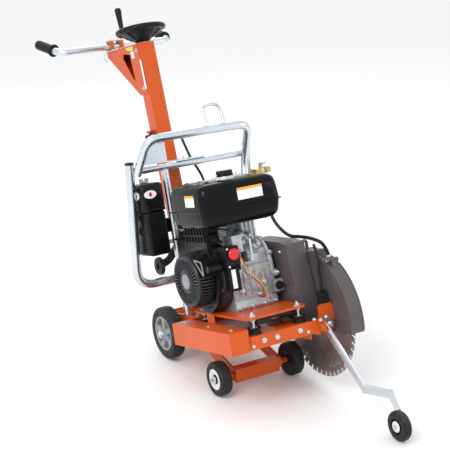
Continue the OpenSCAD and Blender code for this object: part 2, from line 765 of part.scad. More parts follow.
module blade() {
    r = blade_d / 2;
    color([0.62, 0.60, 0.60]) raised() translate([blade_x, arbor_y, arbor_z]) rotate([0, 90, 0])
    difference() {
        union() {
            cylinder(h = blade_t, r = r - 8, center = true, $fn = 96);
            difference() {
                cylinder(h = blade_t + 1, r = r, center = true, $fn = 96);
                cylinder(h = blade_t + 2, r = r - 9, center = true, $fn = 96);
            }
        }
        cylinder(h = 20, r = arbor_d / 2, center = true);
        for (k = [0:blade_teeth - 1]) rotate(360 / blade_teeth * k) translate([r + 1, 0, 0])
            cylinder(h = 20, r = 5, center = true);
        for (k = [0:5]) rotate(60 * k) for (j = [0:2]) rotate(9 * j) translate([r - 38 - 6 * j, 0, 0])
            cylinder(h = 20, r = 4, center = true);
    }
}
module guard_shell() {
    difference() {
        rod([guard_in, guard_out], arbor_y, arbor_z, guard_r, $fn = 96);
        rod([guard_in + guard_wall, guard_out - guard_wall], arbor_y, arbor_z, guard_r - guard_wall,
            $fn = 96);
        box([guard_in - 5, guard_out + 5], [arbor_y - 300, arbor_y + 300], [-300, guard_low]);
    }
}
module blade_guard() {
    color(dark) raised() {
        difference() {
            guard_shell();
            box([guard_in - 5, guard_out + 5], [-900, flap_y], [-300, 600]);
            rod([guard_in - 5, guard_in + 5], arbor_y, arbor_z, 60);
            box([guard_in - 5, guard_in + 5], [arbor_y - 60, arbor_y + 60], [-60, arbor_z]);
        }
        for (x = [[186, 198], [220, 232]]) difference() {
            union() {
                rod(x, flap_y, 226, 8);
                box(x, [flap_y + 1, flap_y + 14], [206, 230]);
            }
            rod([x[0] - 1, x[1] + 1], flap_y, 226, 4.05);
        }
        translate([209, -560, 236]) cylinder(h = 12, r = 9);
        translate([209, -591, 218]) cylinder(h = 14, r = 9);
    }
}
module guard_flap() {
    color(dark) raised() {
        intersection() {
            guard_shell();
            box([guard_in - 5, guard_out + 5], [-900, flap_y - 1], [-300, 600]);
        }
        rod([200, 218], flap_y, 226, 8);
        box([200, 218], [flap_y - 14, flap_y - 2], [202, 224]);
        rod([187, 231], flap_y, 226, 4);
    }
}

chassis();
front_bar();
mounting_bolts();
guard_bracket();
engine_plate();
isolators();
axle_shafts();
column();
handlebar_bracket();
lifting_frame();
stop_box();
crankcase();
cylinder_block();
fan_housing();
recoil_cover();
fuel_tank_lower();
fuel_tank_upper();
air_cleaner();
carburettor();
muffler();
exhaust_deflector();
switch_box();
wiring();
belt_guard();
v_belts();
blade_bearings();
blade_guard();
water_hose();
water_valve();
crankshaft();
drive_pulley();
blade_shaft();
driven_pulley();
blade_flanges();
blade();
guard_flap();
rear_right_rim();
rear_right_tyre();
rear_left_rim();
rear_left_tyre();
front_right_wheel();
front_left_wheel();
front_carrier();
lift_screw();
handwheel();
crank_knob();
lift_nut();
pointer_arm();
pointer_wheel();
handlebar();
grips();
stop_button();
recoil_handle();
fuel_cap();
cleaner_nut();
choke_lever();
throttle_lever();
engine_switch();
oil_cap();
water_lever();
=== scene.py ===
import json
from math import atan2, cos, pi, radians, sin

import bmesh
import bpy
from mathutils import Matrix, Vector


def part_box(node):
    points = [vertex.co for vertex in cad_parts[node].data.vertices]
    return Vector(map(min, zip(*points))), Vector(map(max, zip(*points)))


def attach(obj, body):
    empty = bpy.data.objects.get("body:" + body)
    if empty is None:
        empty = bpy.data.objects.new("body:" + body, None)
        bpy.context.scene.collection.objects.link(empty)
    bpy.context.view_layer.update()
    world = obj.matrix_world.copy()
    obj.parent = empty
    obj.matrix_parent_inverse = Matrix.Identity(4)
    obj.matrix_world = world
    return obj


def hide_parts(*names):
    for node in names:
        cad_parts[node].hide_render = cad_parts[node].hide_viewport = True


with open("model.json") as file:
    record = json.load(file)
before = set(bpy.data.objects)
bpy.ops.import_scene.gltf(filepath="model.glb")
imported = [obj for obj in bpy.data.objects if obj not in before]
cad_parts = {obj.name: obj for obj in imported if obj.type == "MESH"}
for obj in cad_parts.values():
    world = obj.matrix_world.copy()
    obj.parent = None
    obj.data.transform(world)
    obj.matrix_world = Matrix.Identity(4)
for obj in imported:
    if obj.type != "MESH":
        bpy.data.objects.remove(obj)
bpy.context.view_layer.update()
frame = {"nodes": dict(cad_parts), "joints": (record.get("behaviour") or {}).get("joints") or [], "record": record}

# ---------------------------------------------------------------- frames of reference
NODES = frame["nodes"]
RECORD = frame["record"]
JOINTS = {j["name"]: j for j in frame["joints"]}
SLOT = {s["node"]: s["material_slot"] for s in RECORD["subparts"]}
BODY = {n: b for b, members in RECORD["behaviour"]["bodies"].items() for n in members}
MM = 0.001

# Directions in a local frame: x is the operator's left, y the rear and z up.
LEFT = (1, 0, 0)
RIGHT = (-1, 0, 0)
REAR = (0, 1, 0)
AHEAD = (0, -1, 0)
UP = (0, 0, 1)


def joint_place(name):
    return Vector(JOINTS[name]["pos_m"])


def tilted(origin, up):
    """A frame at origin, in metres, whose z axis is up, turned about X only."""
    return Matrix.Translation(origin) @ Matrix.Rotation(-atan2(up.y, up.z), 4, "X")


# The chassis frame stands on the rear axle, the column frame up the column, and the ground
# frame under the front axle. The pieces below are drawn in millimetres of one of them.
FORWARD = Vector(JOINTS["starter_rope"]["axis"])
NORMAL = Vector((0, FORWARD.z, -FORWARD.y))
COLUMN_AXIS = Vector(JOINTS["handwheel_turn"]["axis"])
CHASSIS = tilted(joint_place("rear_right_axle"), NORMAL)
HANDWHEEL_HEIGHT = 1.1
COLUMN = tilted(joint_place("handwheel_turn") - COLUMN_AXIS * HANDWHEEL_HEIGHT, COLUMN_AXIS)
front_axle = joint_place("front_right_axle")
GROUND = Matrix.Translation((front_axle.x, front_axle.y, 0))


def in_chassis(joint):
    """A joint's place in chassis millimetres."""
    return (CHASSIS.inverted() @ joint_place(joint)) / MM


CRANK = in_chassis("crank_turn")
ARBOR = in_chassis("blade_turn")
CYLINDER_LEAN = radians(25)
CYLINDER = CHASSIS @ Matrix.Translation(CRANK * MM) @ Matrix.Rotation(CYLINDER_LEAN, 4, "X")


# ---------------------------------------------------------------- camera and light
def make_camera():
    """A long lens at the front right, placed from the rear and front axles."""
    offset = Vector((-1.981, -3.158, 2.034))
    place = offset + Vector((joint_place("rear_right_axle").x, GROUND.translation.y, 0))
    look = Vector((0.473, 0.806, -0.355)).normalized()
    lean = Vector((0.183, 0.304, 0.935))
    right = look.cross(lean).normalized()
    up = right.cross(look)
    data = bpy.data.cameras.new("camera")
    data.lens = 92.07
    data.sensor_width = 36
    data.clip_end = 100
    camera = bpy.data.objects.new("camera", data)
    turn = Matrix((right, up, -look)).transposed().to_4x4()
    camera.matrix_world = Matrix.Translation(place) @ turn
    bpy.context.scene.collection.objects.link(camera)
    bpy.context.scene.camera = camera


def area_light(name, place, target, size, power):
    data = bpy.data.lights.new(name, "AREA")
    data.shape = "RECTANGLE"
    data.size, data.size_y = size
    data.energy = power
    light = bpy.data.objects.new(name, data)
    direction = Vector(target) - Vector(place)
    light.location = place
    light.rotation_euler = direction.to_track_quat("-Z", "Y").to_euler()
    bpy.context.scene.collection.objects.link(light)


def make_studio():
    """A white world, three soft lights and a plain pale floor just under the wheels."""
    scene = bpy.context.scene
    world = bpy.data.worlds.new("studio")
    scene.world = world
    world.use_nodes = True
    background = world.node_tree.nodes["Background"]
    background.inputs["Color"].default_value = (1.0, 1.0, 1.0, 1)
    background.inputs["Strength"].default_value = 0.98
    area_light("key", (-2.6, -1.6, 3.2), (0, -0.1, 0.5), (2.2, 1.6), power=68)
    area_light("fill", (2.8, -2.4, 1.8), (0, -0.2, 0.4), (1.6, 1.6), power=8)
    area_light("back", (0.6, 3.0, 2.6), (0, 0, 0.6), (2.4, 1.2), power=30)
    scene.view_settings.view_transform = "Standard"
    mesh = bpy.data.meshes.new("floor")
    half = 30
    corners = [(-half, -half, 0), (half, -half, 0), (half, half, 0), (-half, half, 0)]
    mesh.from_pydata(corners, [], [(0, 1, 2, 3)])
    floor = bpy.data.objects.new("floor", mesh)
    floor.location.z = -0.0005
    scene.collection.objects.link(floor)
    pale = bpy.data.materials.new("pale_floor")
    pale.use_nodes = True
    shader = pale.node_tree.nodes["Principled BSDF"]
    shader.inputs["Base Color"].default_value = (0.93, 0.93, 0.93, 1)
    shader.inputs["Roughness"].default_value = 0.9
    shader.inputs["Specular IOR Level"].default_value = 0.1
    mesh.materials.append(pale)


# ---------------------------------------------------------------- materials
def scaled(colour, k):
    return tuple(min(1.0, c * k) for c in colour) + (1,)


def surface(name, base, rough, metallic=0.0, tone=0.12, patch=14.0, grain=900.0, bump=0.12,
            depth=0.00006, coat=0.0, wear=None, upward_lightening=0.0, spec=0.5):
    """A shader whose colour, roughness and relief all vary over the surface."""
    material = bpy.data.materials.new(name)
    material.use_nodes = True
    tree = material.node_tree
    shader = tree.nodes["Principled BSDF"]
    shader.inputs["Metallic"].default_value = metallic
    shader.inputs["Specular IOR Level"].default_value = spec
    shader.inputs["Coat Weight"].default_value = coat
    shader.inputs["Coat Roughness"].default_value = 0.08
    place = tree.nodes.new("ShaderNodeTexCoord")

    def noise(scale, detail, rough_value=0.55):
        node = tree.nodes.new("ShaderNodeTexNoise")
        node.inputs["Scale"].default_value = scale
        node.inputs["Detail"].default_value = detail
        node.inputs["Roughness"].default_value = rough_value
        tree.links.new(place.outputs["Object"], node.inputs["Vector"])
        return node.outputs["Fac"]

    def spread(value, low, high, start=0.35, end=0.65):
        node = tree.nodes.new("ShaderNodeMapRange")
        node.inputs["From Min"].default_value = start
        node.inputs["From Max"].default_value = end
        node.inputs["To Min"].default_value = low
        node.inputs["To Max"].default_value = high
        tree.links.new(value, node.inputs["Value"])
        return node.outputs["Result"]

    def blend(factor, first, second):
        node = tree.nodes.new("ShaderNodeMix")
        node.data_type = "RGBA"
        tree.links.new(factor, node.inputs["Factor"])
        for socket, value in ((node.inputs["A"], first), (node.inputs["B"], second)):
            if isinstance(value, tuple):
                socket.default_value = value
            else:
                tree.links.new(value, socket)
        return node.outputs["Result"]

    colour = blend(spread(noise(patch, 5), 0, 1), scaled(base, 1 - tone), scaled(base, 1 + tone))
    if wear:
        fleck = spread(noise(patch * 6, 8, 0.7), 0, 0.85, 0.66, 0.74)
        colour = blend(fleck, colour, tuple(wear) + (1,))
    # Faces that point up are mixed towards a warm grey, so the surface is lighter towards the top.
    if upward_lightening:
        normal = tree.nodes.new("ShaderNodeNewGeometry")
        split = tree.nodes.new("ShaderNodeSeparateXYZ")
        tree.links.new(normal.outputs["Normal"], split.inputs["Vector"])
        lift = spread(split.outputs["Z"], 0, upward_lightening, 0.3, 1.0)
        colour = blend(lift, colour, (0.42, 0.40, 0.37, 1))
    tree.links.new(colour, shader.inputs["Base Color"])
    tree.links.new(spread(noise(patch * 3, 6), rough[0], rough[1]), shader.inputs["Roughness"])
    relief = tree.nodes.new("ShaderNodeBump")
    relief.inputs["Strength"].default_value = bump
    relief.inputs["Distance"].default_value = depth
    tree.links.new(noise(grain, 3), relief.inputs["Height"])
    tree.links.new(relief.outputs["Normal"], shader.inputs["Normal"])
    return material


LOOKS = {
    "orange_paint": dict(base=(0.60, 0.088, 0.007), rough=(0.3, 0.4), tone=0.05, patch=5, grain=420,
                         bump=0.12, depth=0.00006, coat=0.08, spec=0.3),
    "zinc": dict(base=(0.66, 0.72, 0.77), rough=(0.24, 0.32), metallic=1.0, tone=0.04, patch=14, grain=60,
                 bump=0.012, depth=0.00003),
    "steel": dict(base=(0.56, 0.57, 0.59), rough=(0.28, 0.45), metallic=1.0, tone=0.12, patch=40),
    "cast_alloy": dict(base=(0.50, 0.52, 0.55), rough=(0.34, 0.5), metallic=0.8, tone=0.2, patch=22,
                       grain=700, bump=0.6, depth=0.0002),
    "black_plastic": dict(base=(0.007, 0.007, 0.008), rough=(0.28, 0.38), tone=0.2, spec=0.2, grain=1400,
                          bump=0.5, depth=0.00008),
    "tank_black": dict(base=(0.004, 0.004, 0.005), rough=(0.07, 0.11), tone=0.1, patch=6, grain=90,
                       bump=0.05, depth=0.0001, coat=0.03, spec=0.14),
    "guard_paint": dict(base=(0.085, 0.069, 0.072), rough=(0.36, 0.48), tone=0.07, patch=8, grain=600,
                        bump=0.5, depth=0.0001, coat=0.1),
    "heat_black": dict(base=(0.012, 0.0115, 0.0115), rough=(0.55, 0.75), tone=0.25, grain=500, bump=0.7,
                       depth=0.00015, wear=(0.09, 0.05, 0.03)),
    "rubber": dict(base=(0.010, 0.010, 0.010), rough=(0.45, 0.6), tone=0.25, patch=30, spec=0.25,
                   grain=1100, bump=0.5, depth=0.0001),
    # The tyre is mixed lighter on the faces that point up.
    "tyre": dict(base=(0.012, 0.012, 0.013), rough=(0.45, 0.65), tone=0.25, patch=25, spec=0.3, grain=800,
                 bump=0.6, depth=0.00015, upward_lightening=0.06),
    "blade_steel": dict(base=(0.30, 0.275, 0.26), rough=(0.3, 0.46), metallic=0.85, tone=0.2, patch=18,
                        grain=900, bump=0.3, depth=0.0001),
    "rim_grit": dict(base=(0.34, 0.31, 0.28), rough=(0.6, 0.8), metallic=0.5, tone=0.35, patch=160,
                     grain=1600, bump=0.9, depth=0.0003),
    "brass": dict(base=(0.66, 0.46, 0.18), rough=(0.25, 0.4), metallic=1.0, tone=0.15, patch=60),
    "red_plastic": dict(base=(0.62, 0.012, 0.016), rough=(0.2, 0.3), tone=0.08, coat=0.3),
    "blue_plastic": dict(base=(0.12, 0.42, 0.62), rough=(0.25, 0.35), tone=0.08),
    "grey_plastic": dict(base=(0.028, 0.030, 0.034), rough=(0.24, 0.34), tone=0.1, spec=0.3, grain=1200,
                         bump=0.4, depth=0.00008),
    "cable": dict(base=(0.012, 0.012, 0.012), rough=(0.35, 0.5), tone=0.15),
    "red_wire": dict(base=(0.6, 0.02, 0.015), rough=(0.35, 0.5), tone=0.1),
    "yellow_wire": dict(base=(0.75, 0.55, 0.03), rough=(0.35, 0.5), tone=0.1),
    "rim_grey": dict(base=(0.27, 0.285, 0.30), rough=(0.34, 0.46), tone=0.08, grain=900, bump=0.4),
    "hub_white": dict(base=(0.72, 0.73, 0.74), rough=(0.35, 0.5), tone=0.05, patch=30),
    "plate_white": dict(base=(0.82, 0.83, 0.84), rough=(0.3, 0.4), tone=0.03),
    "plate_amber": dict(base=(0.85, 0.36, 0.03), rough=(0.3, 0.4), tone=0.05),
    "plate_yellow": dict(base=(0.85, 0.62, 0.05), rough=(0.3, 0.4), tone=0.05),
    "teal_plastic": dict(base=(0.02, 0.20, 0.25), rough=(0.3, 0.45), tone=0.1),
    "shadow_black": dict(base=(0.004, 0.004, 0.004), rough=(0.7, 0.9), tone=0.2, spec=0.2),
}
MATERIALS = {name: surface(name, **look) for name, look in LOOKS.items()}


# ---------------------------------------------------------------- mesh tools
def unit(v):
    return Vector(v).normalized()


def across(direction):
    """Two unit vectors square to direction and each other."""
    d = unit(direction)
    u = d.cross(Vector((0, 0, 1)) if abs(d.z) < 0.9 else Vector((0, 1, 0))).normalized()
    return u, d.cross(u)


def rounded(path, cut, steps=6):
    """The path with each inner corner turned into a curve that starts cut before it."""
    path = [Vector(p) for p in path]
    out = [path[0]]
    for i in range(1, len(path) - 1):
        a = path[i] + unit(path[i - 1] - path[i]) * cut
        b = path[i] + unit(path[i + 1] - path[i]) * cut
        for k in range(steps + 1):
            t = k / steps
            out.append(a * (1 - t) ** 2 + path[i] * 2 * t * (1 - t) + b * t * t)
    return out + [path[-1]]


def smooth_line(points, steps=5):
    """A Catmull-Rom curve through the points."""
    p = [Vector(q) for q in points]
    p = [p[0] * 2 - p[1]] + p + [p[-1] * 2 - p[-2]]
    out = []
    for i in range(1, len(p) - 2):
        for k in range(steps):
            t = k / steps
            out.append(0.5 * (2 * p[i] + (p[i + 1] - p[i - 1]) * t
                              + (2 * p[i - 1] - 5 * p[i] + 4 * p[i + 1] - p[i + 2]) * t ** 2
                              + (3 * p[i] - p[i - 1] - 3 * p[i + 1] + p[i + 2]) * t ** 3))
    return out + [p[-2]]


class Shape:
    """Closed solids gathered in one mesh, in the millimetres of a local frame."""

    def __init__(self):
        self.verts = []
        self.faces = []
        self.inks = []
        self.ink = 0

    def add(self, verts, faces):
        n = len(self.verts)
        self.verts += [Vector(v) for v in verts]
        self.faces += [[n + i for i in f] for f in faces]
        self.inks += [self.ink] * len(faces)
        return self

    def box(self, x, y, z):
        """A block, each side given as its two ends."""
        v = [(a, b, c) for a in x for b in y for c in z]
        return self.add(v, [(0, 1, 3, 2), (4, 6, 7, 5), (0, 4, 5, 1),
                            (2, 3, 7, 6), (0, 2, 6, 4), (1, 5, 7, 3)])

    def rings(self, rings, closed=False):
        """Skins a list of equal rings and caps both ends."""
        m = len(rings[0])
        faces = []
        for i in range(len(rings) - (0 if closed else 1)):
            j = (i + 1) % len(rings)
            faces += [(i * m + k, i * m + (k + 1) % m, j * m + (k + 1) % m, j * m + k) for k in range(m)]
        if not closed:
            faces += [tuple(range(m - 1, -1, -1)), tuple((len(rings) - 1) * m + k for k in range(m))]
        return self.add([v for r in rings for v in r], faces)

    def tube(self, path, r, sides):
        """A round bar that follows the path."""
        path = [Vector(p) for p in path]
        u, _ = across(path[1] - path[0])
        rings = []
        for i, p in enumerate(path):
            d = unit(path[min(i + 1, len(path) - 1)] - path[max(i - 1, 0)])
            u = (u - d * u.dot(d)).normalized()
            v = d.cross(u)
            rings.append([p + r * (cos(a) * u + sin(a) * v)
                          for a in (2 * pi * k / sides for k in range(sides))])
        return self.rings(rings)

    def rod(self, a, b, r, r2=None, sides=32):
        """A straight bar from a to b, of radius r at a and r2 at b."""
        a, b = Vector(a), Vector(b)
        u, v = across(b - a)
        angles = [2 * pi * k / sides for k in range(sides)]
        return self.rings([[c + q * (cos(t) * u + sin(t) * v) for t in angles]
                           for c, q in ((a, r), (b, r if r2 is None else r2))])

    def turned(self, centre, axis, profile, steps=64, start=0.0, sweep=360.0):
        """Turns a closed outline of (radius, height) about an axis through centre."""
        c, d = Vector(centre), unit(axis)
        u, v = across(d)
        full = sweep >= 360
        count = steps if full else steps + 1
        rings = []
        for k in range(count):
            t = radians(start + sweep * k / steps)
            rings.append([c + d * h + r * (cos(t) * u + sin(t) * v) for r, h in profile])
        return self.rings(rings, closed=full)

    def prism(self, outline, axis, span):
        """Extrudes an outline, given in the two other axes in X, Y, Z order."""
        def at(p, h):
            q = list(p)
            q.insert("XYZ".index(axis), h)
            return q
        return self.rings([[at(p, h) for p in outline] for h in span])

    def bolt(self, at, direction, r, washer=True, stud=False):
        """A hexagon head of radius r with its washer, and the end of its stud."""
        p, d = Vector(at), unit(direction)
        if washer:
            self.rod(p, p + d * r * 0.22, r * 1.45, sides=28)
        self.rod(p + d * r * 0.2, p + d * r * 0.9, r, sides=6)
        self.rod(p + d * r * 0.9, p + d * r * (1.8 if stud else 1.05), r * 0.55, r * 0.5, sides=20)
        return self

    def dome(self, at, direction, r, height):
        """A rounded boss of radius r that stands out by height."""
        steps, sides = 6, 28
        p, d = Vector(at), unit(direction)
        u, v = across(d)
        rings = []
        for i in range(steps + 1):
            t = pi / 2 * min(i / steps, 0.97)
            rings.append([p + d * height * sin(t) + r * cos(t) * (cos(a) * u + sin(a) * v)
                          for a in (2 * pi * k / sides for k in range(sides))])
        return self.rings(rings)

    def put(self, name, node, materials, bevel, slot=None, place=CHASSIS, smooth=40, stands_in=False):
        """Makes the piece in metres, riding on the node's body; one that stands in hides the node."""
        mesh = bpy.data.meshes.new(name)
        mesh.from_pydata([place @ (v * MM) for v in self.verts], [], self.faces)
        bm = bmesh.new()
        bm.from_mesh(mesh)
        bmesh.ops.recalc_face_normals(bm, faces=bm.faces)
        bm.to_mesh(mesh)
        bm.free()
        piece = bpy.data.objects.new(name, mesh)
        bpy.context.scene.collection.objects.link(piece)
        materials = [materials] if isinstance(materials, str) else materials
        for material in materials:
            mesh.materials.append(MATERIALS[material])
        for polygon, ink in zip(mesh.polygons, self.inks):
            polygon.material_index = ink
        finish_edges(piece, bevel, smooth)
        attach(piece, BODY[node])
        if stands_in:
            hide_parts(node)


def finish_edges(piece, bevel, smooth):
    """Rounds the sharp edges by bevel millimetres and shades the rest smooth."""
    if bevel:
        edge = piece.modifiers.new("edges", "BEVEL")
        edge.width = bevel * MM
        edge.segments = 2
        edge.limit_method = "ANGLE"
        edge.angle_limit = radians(38)
        edge.harden_normals = False
    piece.data.polygons.foreach_set("use_smooth", [True] * len(piece.data.polygons))
    piece.data.set_sharp_from_angle(angle=radians(smooth))


def dress(node, bevel):
    """Stands a softened copy of a CAD node in its place."""
    mesh = NODES[node].data.copy()
    mesh.materials.clear()
    bm = bmesh.new()
    bm.from_mesh(mesh)
    bmesh.ops.remove_doubles(bm, verts=bm.verts, dist=0.00001)
    bmesh.ops.dissolve_limit(bm, angle_limit=radians(1.0), verts=bm.verts, edges=bm.edges)
    bm.to_mesh(mesh)
    bm.free()
    piece = bpy.data.objects.new(node + "_skin", mesh)
    bpy.context.scene.collection.objects.link(piece)
    mesh.materials.append(MATERIALS[SLOT[node]])
    finish_edges(piece, bevel, smooth=32)
    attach(piece, BODY[node])
    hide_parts(node)


def on_circle(x, y, z, radius, angle):
    """A point on a circle round the left-right line through (x, y, z)."""
    return Vector((x, y + radius * cos(angle), z + radius * sin(angle)))


def mirrored(half):
    """A profile of (radius, height) followed by its own mirror image, back to front."""
    return half + [(r, -h) for r, h in reversed(half)]


# ---------------------------------------------------------------- engine
def starter_cover():
    """The louvred starter cover, its ribbed side, its badge and the triangular rope guide."""
    y, z = CRANK.y, CRANK.z
    centre = Vector((0, y, z))
    r = 97
    s = Shape()
    s.turned(centre, RIGHT, [(0, 152), (r + 1, 152), (r + 1, 160), (r - 4, 163), (r - 4, 196),
                             (r - 8, 206), (r - 14, 207), (0, 207)], 80)
    s.ink = 1
    s.turned(centre, RIGHT, [(r - 19, 205), (r - 5, 205), (r - 3, 210), (r - 6, 216), (r - 12, 219),
                             (r - 18, 216)], 80)
    s.turned(centre, RIGHT, [(0, 206), (43, 206), (44, 214), (40, 217.5), (30, 218.5), (28, 216.5),
                             (0, 216.5)], 64)
    bars, base = 38, 206
    for k in range(bars):
        t = 2 * pi * (k + 0.5) / bars
        u, w = Vector((0, cos(t), sin(t))), Vector((0, -sin(t), cos(t)))
        rings = []
        for reach, half, top in ((41, 1.5, 214), (58, 2.0, 217), (r - 14, 2.9, 218)):
            section = ((-half, base), (half, base), (half, top - 1), (half * 0.4, top),
                       (-half * 0.4, top), (-half, top - 1))
            rings.append([centre + u * reach + w * a - Vector((h, 0, 0)) for a, h in section])
        s.rings(rings)
    ribs, gap = 52, (radians(128), radians(172))
    for k in range(ribs):
        t = radians(360 / ribs * k)
        if gap[0] < t < gap[1]:
            continue
        u, w = Vector((0, cos(t), sin(t))), Vector((0, -sin(t), cos(t)))
        rings = []
        for depth, top in ((161, 1), (166, 2.0), (198, 0.5), (207, -4)):
            section = ((r - 6, -2.2), (r + top, -2.2), (r + top, 2.2), (r - 6, 2.2))
            rings.append([centre + u * q + w * a - Vector((depth, 0, 0)) for q, a in section])
        s.rings(rings)
    s.ink = 0
    guide_y, guide_z = y - 92, z + 46
    s.prism([(guide_y + 34, guide_z + 30), (guide_y - 20, guide_z + 22), (guide_y - 24, guide_z - 22),
             (guide_y - 12, guide_z - 30)], "X", (-202, -152))
    s.ink = 2
    edge = ((30, 31), (-22, 24), (-26, -24), (30, 31))
    s.tube(rounded([(-204, guide_y + a, guide_z + b) for a, b in edge], 7), 2.4, 10)
    s.ink = 1
    for k in range(3):
        p = on_circle(-158, y, z, r + 5, radians(90 + 120 * k + 25))
        s.rod(p + Vector((8, 0, 0)), p, 8)
        s.bolt(p, RIGHT, 4.6)
    s.put("starter_cover", "recoil_cover", ["shadow_black", "grey_plastic", "rim_grey"], bevel=0.5,
          stands_in=True)
    badge = Shape()
    badge.turned(centre, RIGHT, [(0, 216), (27.5, 216), (27.5, 217.6), (26, 218.4), (0, 218.4)], 48)
    badge.box((-220, -218), (y - 17, y + 17), (z + 3, z + 11))
    badge.put("starter_badge", "recoil_cover", "rim_grey", bevel=0.4, slot="grey_plastic")


def fan_shroud():
    """The moulded band round the starter cover, its louvres and its bolts."""
    y, z = CRANK.y, CRANK.z
    centre = (0, y, z)
    s = Shape()
    s.turned(centre, RIGHT, [(98, 138), (123, 134), (126, 130), (126.5, 96), (121, 96), (121, 128),
                             (98, 130)], 96)
    s.turned(centre, RIGHT, [(97, 149), (112, 150.5), (119, 146), (125, 136), (121, 134), (97, 140)],
             96, 120, 210)
    s.ink = 1
    for k in range(4):
        p = on_circle(-149.5, y, z, 108, radians(-112 + 9 * k))
        s.rod(p, p + Vector((-2.2, 0, 0)), 3.2, sides=16)
    s.ink = 0
    b = Shape()
    for k in range(6):
        a = radians(20 + 60 * k)
        p = on_circle(-134, y, z, 119, a)
        s.rod(p + Vector((12, 0, 0)), p + Vector((-6, 0, 0)), 9)
        b.bolt(on_circle(-140, y, z, 119, a), RIGHT, 4.5)
    s.put("fan_band", "fan_housing", ["grey_plastic", "shadow_black"], bevel=0.7)
    b.put("fan_band_bolts", "fan_housing", "zinc", bevel=0.3)
    f = Shape()
    for k in range(9):
        louvre = -146 + 6 * k
        f.box((louvre, louvre + 3), (y - 128, y - 120), (z + 30, z + 92))
    f.box((-148, -94), (y - 123, y - 110), (z + 24, z + 96))
    for k in range(7):
        rib = y - 62 + 22 * k
        f.box((-154, -148), (rib, rib + 5), (z + 128, z + 180))
    for k in range(4):
        rib = -144 + 13 * k
        f.box((rib, rib + 4), (y - 75, y - 68), (z + 96, z + 180))
    f.box((-156, -148), (y - 66, y + 82), (z + 150, z + 156))
    f.prism([(y - 74, z + 112), (y - 84, z + 118), (y - 84, z + 150), (y - 74, z + 162)], "X", (-140, -110))
    f.rod((-125, y - 84, z + 134), (-125, y - 98, z + 134), 11, 9)
    f.tube(smooth_line([(-125, y - 96, z + 134), (-118, y - 108, z + 120), (-104, y - 112, z + 90),
                        (-100, y - 122, z + 60)]), 4, 10)
    f.put("shroud_vents", "fan_housing", "black_plastic", bevel=0.5)


def rounded_rect(x, y, z, inset, r, steps=7):
    """One closed ring of points, a rounded rectangle drawn in by inset."""
    points = []
    x0, x1, y0, y1 = x[0] + inset, x[1] - inset, y[0] + inset, y[1] - inset
    for cx, cy, start in ((x1 - r, y1 - r, 0), (x0 + r, y1 - r, 90), (x0 + r, y0 + r, 180),
                          (x1 - r, y0 + r, 270)):
        for k in range(steps + 1):
            a = radians(start + 90 * k / steps)
            points.append((cx + r * cos(a), cy + r * sin(a), z))
    return points


TANK_X = (-213, 104)
TANK_Y = (-520, -261)
TANK_SEAM = 468
FILLER = (-70, -448)


def fuel_tank():
    """Two pressed halves on a rolled seam, with pressed ridges up their sides."""
    x, y = TANK_X, TANK_Y
    halves = (("tank_upper_shell", "fuel_tank_upper",
               [(469, 1, 26), (474, 1.5, 26), (500, 3, 27), (526, 5, 28), (540, 8, 28), (549, 13, 28),
                (555, 21, 27),
                (559, 33, 25), (562, 52, 22), (564.4, 80, 18), (565, 100, 12)]),
              ("tank_lower_shell", "fuel_tank_lower",
               [(404.3, 44, 16), (405.4, 32, 20), (409, 21, 25), (416, 12, 28), (428, 7, 28), (446, 4, 27),
                (462, 2.5, 26), (468, 2, 26)]))
    for name, node, levels in halves:
        s = Shape()
        s.rings([rounded_rect(x, y, z, inset, r) for z, inset, r in levels])
        s.put(name, node, "tank_black", bevel=0, stands_in=True)
    seam = Shape()
    profile = ((TANK_SEAM - 2, -1.5), (TANK_SEAM - 1.4, -4.6), (TANK_SEAM + 0.6, -5.8),
               (TANK_SEAM + 2.4, -4.6),
               (TANK_SEAM + 3, -1.5))
    seam.rings([rounded_rect(x, y, z, inset, 27) for z, inset in profile])
    ridges = ((14, ((3.6, 472), (7, 526), (20, 552), (62, 563))), (10, ((3, 464), (9, 428), (30, 406))))
    for px in (x[0] + 58, x[1] - 62):
        for corner, route in ridges:
            seam.tube(rounded([(px, y[0] + d, z) for d, z in route], corner), 2.8, 10)
    for py in (y[0] + 46, y[1] - 60):
        for corner, route in ridges:
            seam.tube(rounded([(x[0] + d, py, z) for d, z in route], corner), 2.8, 10)
    seam.put("tank_seam", "fuel_tank_upper", "tank_black", bevel=0)
    plates = Shape()
    front, side = (-70, 30), (y[0] + 60, y[0] + 126)
    plates.box(front, (y[0] + 2.2, y[0] + 5.0), (486, 520))
    plates.box((x[0] + 2.2, x[0] + 5.0), side, (482, 518))
    plates.ink = 1
    plates.box((front[0] + 0.5, front[1] - 0.5), (y[0] + 1.8, y[0] + 4.6), (519, 528))
    plates.box((x[0] + 1.8, x[0] + 4.6), (side[0] + 0.5, side[1] - 0.5), (517, 526))
    plates.put("tank_plates", "fuel_tank_upper", ["plate_white", "plate_amber"], bevel=0.4,
               slot="tank_black")


